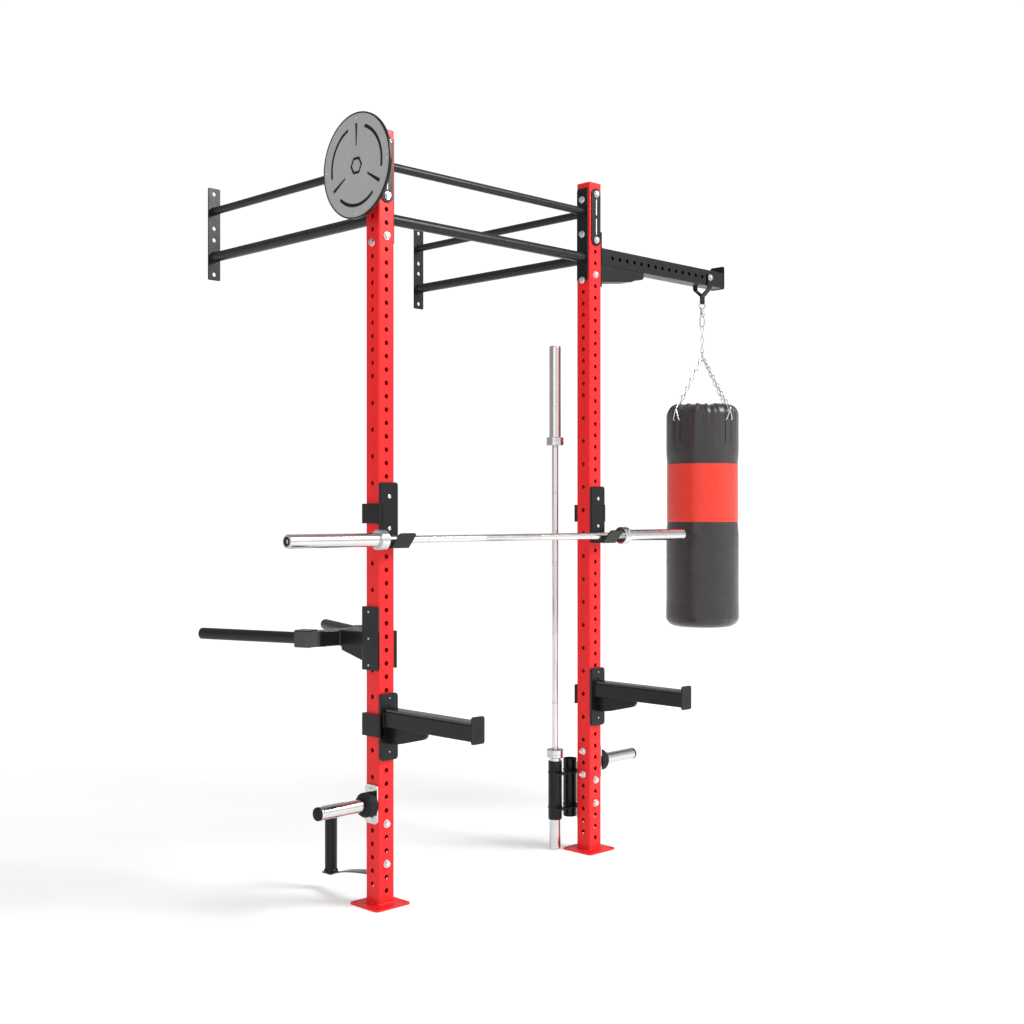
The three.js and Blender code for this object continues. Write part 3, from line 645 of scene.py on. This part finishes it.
for side, out, x in SIDES:
    back_plate = softened([(x - 42, 1348), (x + 42, 1348), (x + 42, 1586), (x - 42, 1586)], [1, 1, 14, 14])
    back_plate = plate([back_plate], "y", PLATE_FRONT, PLATE_BACK)
    shelf = plate([softened([(-48.7, 1342), (-118, 1342), (-118.5, 1348), (-48.7, 1348.5)], 0.8)],
                  "x", x - 42, x + 42, 0.6)
    tilt = math.atan2(52, 48)
    lip_outline = softened([(-42, -2), (42, -2), (42, 70), (-42, 70)], [2, 2, 14, 14])
    lip = plate([lip_outline], "z", -6, 0, 0.8)
    stand = Matrix(((1, 0, 0, x), (0, -math.cos(tilt), -math.sin(tilt), -118),
                    (0, math.sin(tilt), -math.cos(tilt), 1342), (0, 0, 0, 1)))
    parts = [back_plate, shelf, moved(lip, stand), hook_strap(out, x, 1432, 1506)]
    pin = lock_pin(out, x, side_hole(28))
    form(f"jcup_{side}", parts + pin, BLACK)
    pad = plate([softened([(-54.7, 1348.6), (-117, 1348.6), (-125.5, 1357.8), (-54.7, 1357.8)], 1)],
                "x", x - 41, x + 41, 0.8)
    form(f"jcup_liner_{side}", hook_liner(out, x, (1342, 1586), (1432, 1506)) + [pad], LINER)
    for z in (1533, 1413):
        bolts.append(screw((x, PLATE_FRONT, z), (0, -1, 0), 8))

    body = f"spotter_{side}"
    hook_plate = block(x - 42, x + 42, PLATE_FRONT, PLATE_BACK, 548, 798, 14, 0.8, "y")
    parts = [hook_plate, hook_strap(out, x, 637, 720)]
    form(f"spotter_bracket_{side}", parts + lock_pin(out, x, side_hole(12)), BLACK, body)
    form(f"spotter_liner_{side}", hook_liner(out, x, (548, 798), (637, 720)), LINER, body)
    beam = plate([rounded(60, 59, 5, x, 704.5), rounded(52, 51, 2, x, 704.5)], "y", -531, -55)
    flange = block(x - 31, x + 31, -537, -531, 665, 762, 9, 0.9, "y")
    foot = [(-55, 676), (-55, 610), (-76, 610), (-127, 617), (-256, 648), (-268, 662), (-268, 676)]
    foot = plate([softened(foot, [1, 1, 5, 10, 8, 5, 1])], "x", x - 8, x + 8, 1.2)
    bead = sweep([(x + u, -55.6, 704.5 + v) for u, v in rounded(61, 60, 5)], 2.2, 8, True)
    form(f"spotter_arm_{side}", [beam, flange, foot, bead], BLACK, body)
    strip = plate([rounded(56, 470, 2, x, -293)], "z", 734.2, 742, 1.6)
    piece(f"spotter_strip_{side}", [strip], GLOSS, body)
    emblem = [circle(17, x, 700, 6), circle(10, x, 700, 6)]
    piece(f"spotter_mark_{side}", [plate(emblem, "y", -537.5, -536.8, 0.2)], RUBBER, body)
    screws = [screw((x, PLATE_FRONT, z), (0, -1, 0), 3) for z in (779, 580)]
    piece(f"spotter_screws_{side}", screws, ZINC, body)
    piece(f"spotter_plug_{side}", [screw((x, PLATE_FRONT, 752), (0, -1, 0), 5)], RUBBER, body)


# ---- dip station ----
def splayed(part, out):
    return moved(part, Matrix.Translation((out * 137.5, 262, 0)) @ Matrix.Rotation(-out * DIP_SPLAY, 4, "Z"))


hooked = [(-50.3, -45), (-44.6, -45), (-44.6, 44.6), (44.6, 44.6), (44.6, -39), (50.3, -39), (50.3, 50.3),
          (-50.3, 50.3)]
hooked = softened(hooked, [1, 1, 2, 2, 1, 1, 8, 8])
angled = [(-50.3, -45), (-44.6, -45), (-44.6, 44.6), (50.3, 44.6), (50.3, 50.3), (-50.3, 50.3)]
angled = softened(angled, [1, 1, 2, 1, 1, 8])
web = softened([(50, 961), (50, 912), (70, 912), (200, 944), (200, 961)], [1, 1, 6, 6, 1])
steel = [
    plate([hooked], "z", 888, 1028, 0.7),
    plate([angled], "z", 1027.5, 1120, 0.7),
    plate([angled], "z", 883, 888.5, 0.7),
    plate([rounded(60, 61, 5, 0, 990.5), rounded(52, 53, 2, 0, 990.5)], "y", 50.3, 205),
    plate([web], "x", -28, 28, 0.8),
    sweep([(u, 51, 990.5 + v) for u, v in rounded(61, 62, 5)], 2.4, 8, True),
    lathe([(0, 18), (6, 18), (7, 20), (7, 45), (0, 45)], "y", 0, front_hole(19), 24, False, 0.4),
]
form("dip_bracket", steel, BLACK, "dip_station")
inner = [(-44.3, -43), (-38.3, -43), (-38.3, 38.3), (38.3, 38.3), (38.3, -37), (44.3, -37), (44.3, 44.3),
         (-44.3, 44.3)]
piece("dip_liner", [plate([inner], "z", 890, 1026, 0.5),
                    block(-44.3, -38.3, -43, 44.3, 886, 1118, 1, 0.5)], LINER, "dip_station")
liner_screws = [screw((-50.3, 7, z), (-1, 0, 0), 4.5) for z in (1102, 1001, 902)]
piece("dip_screws", liner_screws, ZINC, "dip_station")
beam = [rounded(56, 61, 5, 233.6, DIP_Z - 0.5), rounded(48, 53, 2, 233.6, DIP_Z - 0.5)]
yoke = [plate(beam, "x", -112, 112)]
yoke.append(sweep([(u, 205.2, DIP_Z - 0.5 + v) for u, v in rounded(61, 62, 5)], 2.6, 8, True))
for out in (-1, 1):
    collar = plate([rounded(66, 67, 6, 0, DIP_Z - 0.5), circle(22.8, 0, DIP_Z, 40)], "y", -20, 44, 1.0)
    yoke.append(splayed(collar, out))
    elbow = [(100, 205.5), (120, 205.5), (150, 211), (168, 226), (170, 238), (150, 256), (100, 262)]
    elbow = [(out * u, v) for u, v in softened(elbow, [1, 20, 22, 10, 8, 6, 1])]
    yoke.append(plate([elbow], "z", DIP_Z - 30, DIP_Z + 29, 2.5))
form("dip_yoke", yoke, GLOSS, "dip_station")
for side, out, x in SIDES:
    grip = [(19.5, -40), (22.5, -40), (22.5, 506), (21, 508.5), (19.5, 508.5), (19.5, -40)]
    grip = lathe(grip, "y", 0, DIP_Z, 48)
    cap = lathe([(0, 502), (19.4, 502), (22, 509), (21, 511), (0, 511.5)], "y", 0, DIP_Z, 48, False, 0.6)
    form(f"dip_handle_{side}", [splayed(grip, out), splayed(cap, out)], SATIN, "dip_station")


# ---- weight pegs ----
for side, out, x in SIDES:
    face = x + out * 44.3
    holes = [circle(8, 0, z, 20) for z in (side_hole(5), side_hole(7))]
    flange = plate([rounded(72, 146, 14, 0, PEG_Z)] + holes, "x", x + out * 38.3, face, 1.0)
    tube = [(0, 292), (22, 292), (24.5, 290), (24.5, 43), (0, 43)]
    tube = shifted(lathe(tube, "x", 0, PEG_Z, 48, out < 0, 0.4), x)
    form(f"plate_peg_{side}", [flange, tube], CHROME)
    cap = lathe([(0, 285), (24.9, 285), (24.9, 293), (23, 296), (0, 297)], "x", 0, PEG_Z, 48, out < 0, 0.5)
    piece(f"peg_cap_{side}", [shifted(cap, x)], RUBBER)
    profile = [(25, 44.6), (46, 44.6), (46, 79), (44.5, 81), (39, 89), (37, 90), (25, 90), (25, 44.6)]
    form(f"peg_bumper_{side}", [shifted(lathe(profile, "x", 0, PEG_Z, 56, out < 0, 1.2), x)], RUBBER)
    for z in (side_hole(5), side_hole(7)):
        bolts += bolt((face, 0, z), (out, 0, 0), 0, 0.8)
        bolts += bolt((x - out * HALF, 0, z), (-out, 0, 0), 8)


# ---- bar holder and low post ----
holder = [plate([rounded(60, 250, 6, SPACING, 258)] + [circle(9, SPACING, z, 20) for z in (208, 308)],
                "y", 38.3, 44.3)]
for z in (180, 333):
    outline = [(1040, 44), (1210, 44), (1210, 84), (1204, 84), (1190, 79.5), (1173, 78.8), (1156, 79.5),
               (1140, 84), (1110, 84), (1094, 79.5), (1077, 78.8), (1060, 79.5), (1046, 84), (1040, 80)]
    holder.append(plate([outline], "z", z, z + 6, 0.6))
for x in (1077, 1173):
    for z in (180, 333):
        ring = [(30.1, z), (32.2, z), (32.2, z + 6), (30.1, z + 6), (30.1, z)]
        holder.append(lathe(ring, "z", x, 110, 40, False, 0.4))
form("bar_holder_bracket", holder, BLACK)
for side, x in (("left", 1077), ("right", 1173)):
    profile = [(27.6, 131), (29, 131), (30, 133), (30, 384), (29, 386), (27.6, 386), (27.6, 131)]
    form(f"bar_holder_tube_{side}", [lathe(profile, "z", x, 110, 48, False, 0.5)], BLACK)
for x, heights in ((0, (158, 308)), (SPACING, (208, 308))):
    for z in heights:
        bolts += bolt((x, -38, z), (0, -1, 0)) + bolt((x, 44.3, z), (0, 1, 0), 8)

curve = [(40.3, 112), (60, 110.5), (90, 107.5), (120, 104), (150, 99.5), (182, 94), (208, 88.5),
         (232, 82), (250, 75.5), (264, 69.5), (274, 66.3), (285, 66), (328, 66)]
strap = [(y, z - 5) for y, z in curve] + [(y, z) for y, z in reversed(curve)]
back = plate([rounded(60, 250, 6, 0, 225)] + [circle(9, 0, z, 20) for z in (158, 308)], "y", 38.3, 44.3)
form("low_post_bracket", [back, plate([strap], "x", -25, 25, 0.8)], GLOSS)
post = [(0, 66.6), (28, 66.6), (28, 73), (24, 80), (24, 292), (22, 300), (0, 300)]
form("low_post", [lathe(post, "z", 0, 302, 48)], BLACK)
cross = [(0, -40), (12, -40), (14, -38), (14, 62), (12.5, 66), (0, 66)]
form("low_post_handle", [lathe(cross, "x", 302, 314.4, 40)], CHROME)


# ---- bars ----
def shaft(low, high):
    return [(0, low), (13.4, low), (14, low + 1), (14, high - 1), (13.4, high), (0, high)]


def sleeve_profile():
    """From the collar's inner face out to the rim of the end cap."""
    return [
        (13.2, 664.3), (35, 664.3), (37.5, 666.5), (37.5, 684), (36.4, 685), (36.4, 688), (37.5, 689),
        (37.5, 698), (35, 700.3), (25.4, 700.3), (25.4, 704), (25, 705), (25, 1094), (24, 1098),
        (22.5, 1100), (20.5, 1100), (20.5, 1098.6), (18.6, 1098.6), (18.6, 1100), (13, 1100), (13, 1098),
        (0, 1098), (0, 1086), (13.2, 1086), (13.2, 664.3),
    ]


def bar(prefix, axis, a, b, centre, ends, along, centre_m):
    """A shaft with knurled grips, and two sleeves that turn on it."""
    knurl = knurled_steel(f"{prefix} knurling", "chrome", along, centre_m, 0.014)
    step = {"x": (centre, 0, 0), "z": (0, 0, centre)}[axis]

    def here(part):
        return shifted(part, *step)

    smooth = [here(lathe(shaft(*span), axis, a, b, 40, False, 0.2))
              for span in ((-664, -655), (-462, -452), (-160, 160), (452, 462), (655, 664))]
    cores = [here(lathe([(0, -1084), (12, -1084), (12, 1084), (0, 1084)], axis, a, b, 24, False, 0.3))]
    form(f"{prefix}_shaft", smooth + cores, CHROME, prefix, 35)
    grips = [here(lathe(shaft(*span), axis, a, b, 40, False, 0.2))
             for span in ((-655, -462), (-452, -160), (160, 452), (462, 655))]
    piece(f"{prefix}_knurling", grips, knurl, prefix, sharp=35)
    for i, end in enumerate(ends):
        part = lathe(sleeve_profile(), axis, a, b, 64, i == 0, 0)
        name = f"{prefix}_sleeve_{end}"
        form(name, [here(part)], CHROME, name, 35)
        ring = [(9, 1099), (17, 1099), (17, 1100.6), (9, 1100.6), (9, 1099)]
        piece(f"{name}_cap", [here(lathe(ring, axis, a, b, 48, i == 0, 0.2))], RUBBER, name)


bar("barbell", "x", -104, 1372.3, 600, ("left", "right"), 0, ((1, -0.104), (2, 1.3723)))
bar("stored_bar", "z", 1077, 110, 1100.5, ("bottom", "top"), 2, ((0, 1.077), (1, 0.11)))


# ---- bag hanger ----
prong = HALF + 1.5
fork = [(-45.5, 2611), (-45.5, 2541), (-3.2, 2506), (-3.2, 2498), (3.2, 2498), (3.2, 2506), (45.5, 2541),
        (45.5, 2611), (prong, 2611), (prong, 2544.5), (0, 2512.5), (-prong, 2544.5), (-prong, 2611)]
arms = [softened(fork, [3, 6, 6, 1, 1, 6, 6, 3, 1, 3, 4, 3, 1])]
yoke = plate(arms, "x", BAG_X - 15, BAG_X + 15, 1.0)
tongue = [(BAG_X - 15, 2508), (BAG_X + 15, 2508), (BAG_X + 15, 2470.5), (BAG_X - 15, 2470.5)]
tongue = plate([softened(tongue, [1, 1, 12, 12]), circle(6, BAG_X, 2483.5, 24)], "y", -3.6, 3.6, 0.8)
form("bag_yoke", [yoke, tongue], BLACK, "bag_hanger")
shank = lathe([(0, -46), (7.5, -46), (7.5, 46), (0, 46)], "y", BAG_X, BOOM_Z, 24)
hanger_bolts = [shank] + bolt((BAG_X, -45.8, BOOM_Z), (0, -1, 0)) + bolt((BAG_X, 45.8, BOOM_Z), (0, 1, 0), 5)
form("yoke_bolt", hanger_bolts, ZINC, "bag_hanger")


def oval(half_width, half_height, x, y, z, facing=0.0, lean=None, steps=20):
    """A stadium-shaped path for a link standing at a point, turned about its own length."""
    points = []
    straight = half_height - half_width
    for i in range(steps):
        angle = 2 * math.pi * i / steps
        u, w = half_width * math.cos(angle), half_width * math.sin(angle)
        points.append(Vector((u, 0, w + (straight if w >= 0 else -straight))))
    turn = Matrix.Rotation(facing, 4, "Z")
    if lean is not None:
        turn = lean @ turn
    return [tuple(Vector((x, y, z)) + turn @ p) for p in points]


eye = [sweep(oval(17, 18.5, BAG_X, 0, 2466, math.pi / 2), 3.6, 12, True),
       lathe([(0, 2450.5), (6, 2450.5), (9, 2446), (9, 2430), (11, 2429), (11, 2424), (0, 2424)],
             "z", BAG_X, 0, 28)]
form("swivel_eye", eye, CHROME, "bag_swivel")
hook_path = oval(13, 25, BAG_X, 0, 2388, math.pi / 2, None, 28)
gate = sweep([(BAG_X, -12.5, 2374), (BAG_X, -13.5, 2388), (BAG_X, -11, 2403)], 2.6, 10)
socket = [(0, 2423.7), (10.5, 2423.7), (10.5, 2417), (7, 2412), (6, 2408), (0, 2408)]
socket = lathe(socket, "z", BAG_X, 0, 28)
hook = [socket, sweep(hook_path, 3.4, 12, True), gate]
form("snap_hook", hook, CHROME, "bag")


# ---- chains ----
TWIST = math.radians(-7)  # how far the bag has turned on its swivel


def chain(start, end, count, width=6.2, wire=2.1):
    """Oval links end to end between two points, every other one turned a quarter."""
    a, b = Vector(start), Vector(end)
    pitch = (b - a).length / count
    lean = (b - a).to_track_quat("Z", "Y").to_matrix().to_4x4()
    links = []
    for i in range(count):
        centre = a.lerp(b, (i + 0.5) / count)
        facing = math.pi / 4 + (math.pi / 2 if i % 2 else 0)
        links.append(sweep(oval(width, pitch / 2 + wire * 0.95, *centre, facing, lean, 16), wire, 8, True))
    return links


links = chain((BAG_X, 0, 2364), (BAG_X, 0, 2236), 5, 6.5, 2.3)
links.append(sweep(oval(14, 20, BAG_X, 0, 2220, math.pi / 4), 3, 12, True))
for k in range(4):
    along = Vector((math.cos(TWIST + k * math.pi / 2), math.sin(TWIST + k * math.pi / 2), 0))
    across = Vector((-along.y, along.x, 0))
    middle = Vector((BAG_X, 0, 0))
    rim = middle + along * 163 + Vector((0, 0, 1983))
    apex = middle + along * 178 + Vector((0, 0, 1960))
    links += chain(middle + along * 9 + Vector((0, 0, 2208)), rim, 11)
    links += chain(rim, apex, 1)
    for sign in (-1, 1):
        foot = middle + along * 176 + across * 17 * sign + Vector((0, 0, 1914))
        inside = middle + along * 166 + across * 17 * sign + Vector((0, 0, 1907))
        knee = apex.lerp(foot, 0.5) + along * 1.5
        links.append(sweep([apex, knee, foot, inside], 3.3, 10))
form("bag_chains", links, CHROME, "bag")


# ---- heavy bag ----
def bag_profile():
    """Radius and height from the middle of the bottom, up the side and in over the gathered top."""
    points = [(0.5, BAG_BOTTOM - 4)]
    points += [(r, BAG_BOTTOM - 4) for r in (25, 50, 75, 98, 114)]
    points += [(BAG_RADIUS - 54 + 54 * math.sin(t), BAG_BOTTOM + 40 - 44 * math.cos(t))
               for t in (k * math.pi / 24 for k in range(1, 13))]
    rows = 74
    low, high = BAG_BOTTOM + 44, BAG_TOP - 48
    points += [(BAG_RADIUS, low + (high - low) * i / rows) for i in range(rows + 1)]
    points += [(BAG_RADIUS - 48 + 48 * math.cos(t), BAG_TOP - 44 + 54 * math.sin(t))
               for t in (k * math.pi / 28 for k in range(1, 15))]
    points += [(r, BAG_TOP + 10 - 14 * (1 - r / 122)) for r in (114, 100, 84, 56, 28)] + [(0.5, BAG_TOP - 5)]
    return points


def apart(angle, other):
    """The signed difference of two angles, the short way round."""
    return (angle - other + math.pi) % (2 * math.pi) - math.pi


def bag_surface():
    """A filled skin: pleats under the rim, long soft folds, and dents from use."""
    rng = random.Random(7)
    folds = [(k, rng.uniform(0, 2 * math.pi), rng.uniform(0.5, 1)) for k in (7, 11, 17, 23, 37)]
    waves = [(k, rng.uniform(0, 2 * math.pi), rng.uniform(0.4, 1)) for k in (3, 5, 7, 11)]
    ripples = [(rng.uniform(8, 26), rng.uniform(-9, 9), rng.uniform(0, 2 * math.pi)) for _ in range(5)]
    count = BAG_COUNT
    verts, faces = [], []
    for radius, z in bag_profile():
        near_top = math.exp(-((BAG_TOP - z) / 40))
        near_low = math.exp(-((z - BAG_BOTTOM - 40) / 60) ** 2)
        upper = max(0.0, min(1.0, (z - 1720) / 160))
        free = max(0.0, min(1.0, max(z - BAND[1], BAND[0] - z) / 60))
        for i in range(count):
            angle = 2 * math.pi * i / count
            pleat = sum(w * math.sin(k * angle + p) for k, p, w in folds) / 3
            soft = sum(w * math.cos(k * angle + p + 0.5 * math.sin(z / 170)) for k, p, w in waves) / 4
            ripple = sum(math.sin(z / s * 2.2 + k * math.sin(angle + p)) for s, k, p in ripples) / 5
            clip = sum(math.exp(-(apart(angle, TWIST + q * math.pi / 2) / 0.12) ** 2) for q in range(4))
            bulge = 1.6 * soft + 0.35 * ripple + near_low * (1.8 + 0.9 * pleat)
            bulge += near_top * 6.5 * (pleat - 0.3) + upper * (0.9 * pleat - 3.0 * clip) - 3.0 + 4.5 * free
            share = min(1.0, radius / 60)
            r = radius + bulge * share
            gather = abs(math.sin(11.5 * angle + 1.7 * math.sin(2 * angle)))
            dip = near_top * (5.0 * pleat - 3.0 * gather) * share
            verts.append((BAG_X + r * math.cos(angle), r * math.sin(angle), z + dip))
    rows = len(verts) // count
    for row in range(rows - 1):
        base = row * count
        faces += [(base + i, base + (i + 1) % count, base + count + (i + 1) % count, base + count + i)
                  for i in range(count)]
    faces += [tuple(range(count))[::-1], tuple(range(len(verts) - count, len(verts)))]
    return outward(verts, faces)


def wrapped(low, high, lift, from_angle=0.0, to_angle=2 * math.pi, steps=BAG_COUNT, rows=24):
    """A sheet that follows the bag's side a little outside it, with its own thickness."""
    verts, faces = [], []
    closed = to_angle - from_angle > 6.28
    for layer in (0.0, lift):
        for row in range(rows + 1):
            z = low + (high - low) * row / rows
            rim = 0.6 if row in (0, rows) and layer else 0.0
            for i in range(steps if closed else steps + 1):
                angle = from_angle + (to_angle - from_angle) * i / steps
                r = bag_lookup(angle, z) + layer - rim
                verts.append((BAG_X + r * math.cos(angle), r * math.sin(angle), z))
    across = steps if closed else steps + 1
    size = across * (rows + 1)
    for layer in (0, 1):
        for row in range(rows):
            for i in range(steps):
                a = layer * size + row * across + i
                b = layer * size + row * across + (i + 1) % across
                faces.append((a, b, b + across, a + across) if layer else (b, a, a + across, b + across))
    for row in (0, rows):
        for i in range(steps):
            a, b = row * across + i, row * across + (i + 1) % across
            faces.append((a, b, b + size, a + size) if row == 0 else (b, a, a + size, b + size))
    if not closed:
        for i in (0, steps):
            for row in range(rows):
                a, b = row * across + i, (row + 1) * across + i
                faces.append((b, a, a + size, b + size) if i == 0 else (a, b, b + size, a + size))
    return outward(verts, faces)


bag_verts, bag_faces = bag_surface()
side_rows = [bag_verts[i:i + BAG_COUNT] for i in range(0, len(bag_verts), BAG_COUNT)][18:93]


def bag_lookup(angle, z):
    """The bag's radius on its side at an angle and a height."""
    heights = [row[0][2] for row in side_rows]
    row = min(range(len(heights)), key=lambda k: abs(heights[k] - z))
    other = max(0, min(len(heights) - 1, row + (1 if z > heights[row] else -1)))
    share = 0 if other == row else abs(z - heights[row]) / max(1e-6, abs(heights[other] - heights[row]))
    step = (angle / (2 * math.pi) * BAG_COUNT) % BAG_COUNT
    i = int(step) % BAG_COUNT
    t = step - int(step)

    def radius(k):
        a, b = side_rows[k][i], side_rows[k][(i + 1) % BAG_COUNT]
        ra, rb = math.hypot(a[0] - BAG_X, a[1]), math.hypot(b[0] - BAG_X, b[1])
        return ra + (rb - ra) * t

    return radius(row) + (radius(other) - radius(row)) * min(1, share)


bag = form("heavy_bag", [(bag_verts, bag_faces)], VINYL, "bag", 60)
piece("heavy_bag_band", [wrapped(*BAND, 1.6)], BAND_VINYL, "bag")
tabs, seams = [], []
for k in range(4):
    middle = TWIST + k * math.pi / 2
    tabs.append(wrapped(1800, 1930, 1.8, middle - 0.13, middle + 0.13, 12, 16))
    for at, half in ((-0.115, 0.009), (0.1, 0.003)):
        seams.append(wrapped(1802, 1906, 3.0, middle + at - half, middle + at + half, 2, 16))
piece("heavy_bag_tabs", tabs, VINYL, "bag")
piece("heavy_bag_stitching", seams, WEBBING, "bag")

piece("frame_bolts", bolts, ZINC, "frame")
piece("target_rivets", rivets, ZINC, "frame")


# ---- stage ----
def make_stage():
    mesh = bpy.data.meshes.new("floor")
    mesh.from_pydata([(-40, -40, 0), (40, -40, 0), (40, 40, 0), (-40, 40, 0)], [], [(0, 1, 2, 3)])
    floor = bpy.data.objects.new("floor", mesh)
    bpy.context.scene.collection.objects.link(floor)
    look = Look("floor", "", (0.93, 0.93, 0.93), 0.7, Specular_IOR_Level=0.2)
    look.vary_roughness(2, 0.65, 0.75)
    distance = look.node("VectorMath", {0: look.place}, operation="LENGTH").outputs["Value"]
    lift = {"Value": distance, "From Min": 1.5, "From Max": 6.0, "To Min": 0.22, "To Max": 0.5}
    glow = look.node("MapRange", lift).outputs[0]
    look.shader.inputs["Emission Color"].default_value = (1, 1, 1, 1)
    look.tree.links.new(glow, look.shader.inputs["Emission Strength"])
    mesh.materials.append(look.material)

    world = bpy.data.worlds.new("studio")
    bpy.context.scene.world = world
    world.use_nodes = True
    tree = world.node_tree
    background = tree.nodes["Background"]
    background.inputs["Color"].default_value = (1, 1, 1, 1)
    place = tree.nodes.new("ShaderNodeTexCoord").outputs["Generated"]
    facing = tree.nodes.new("ShaderNodeVectorMath")
    facing.operation = "DOT_PRODUCT"
    facing.inputs[1].default_value = (-0.26, -0.966, 0)
    tree.links.new(place, facing.inputs[0])
    ramp = tree.nodes.new("ShaderNodeMapRange")
    ramp.interpolation_type = "SMOOTHSTEP"
    ramp.inputs["From Min"].default_value = 0.2
    ramp.inputs["From Max"].default_value = 0.45
    ramp.inputs["To Min"].default_value = 0.42
    ramp.inputs["To Max"].default_value = 1.0
    tree.links.new(facing.outputs["Value"], ramp.inputs["Value"])
    seen = tree.nodes.new("ShaderNodeLightPath").outputs["Is Camera Ray"]
    mix = tree.nodes.new("ShaderNodeMix")
    mix.inputs["B"].default_value = 1.05
    tree.links.new(seen, mix.inputs["Factor"])
    tree.links.new(ramp.outputs[0], mix.inputs["A"])
    tree.links.new(mix.outputs["Result"], background.inputs["Strength"])

    lamps = (("key", (3.2, -4.2, 5.2), 2.6, 330), ("fill", (-4.5, -2.5, 3.5), 3.0, 20))
    for name, place, size, power in lamps:
        data = bpy.data.lights.new(name, "AREA")
        data.size = size
        data.energy = power
        lamp = bpy.data.objects.new(name, data)
        lamp.location = place
        aim = Vector((0.8, 0.3, 1.2)) - Vector(place)
        lamp.rotation_euler = aim.to_track_quat("-Z", "Y").to_euler()
        bpy.context.scene.collection.objects.link(lamp)
    bpy.context.scene.view_settings.view_transform = "Standard"


make_stage()
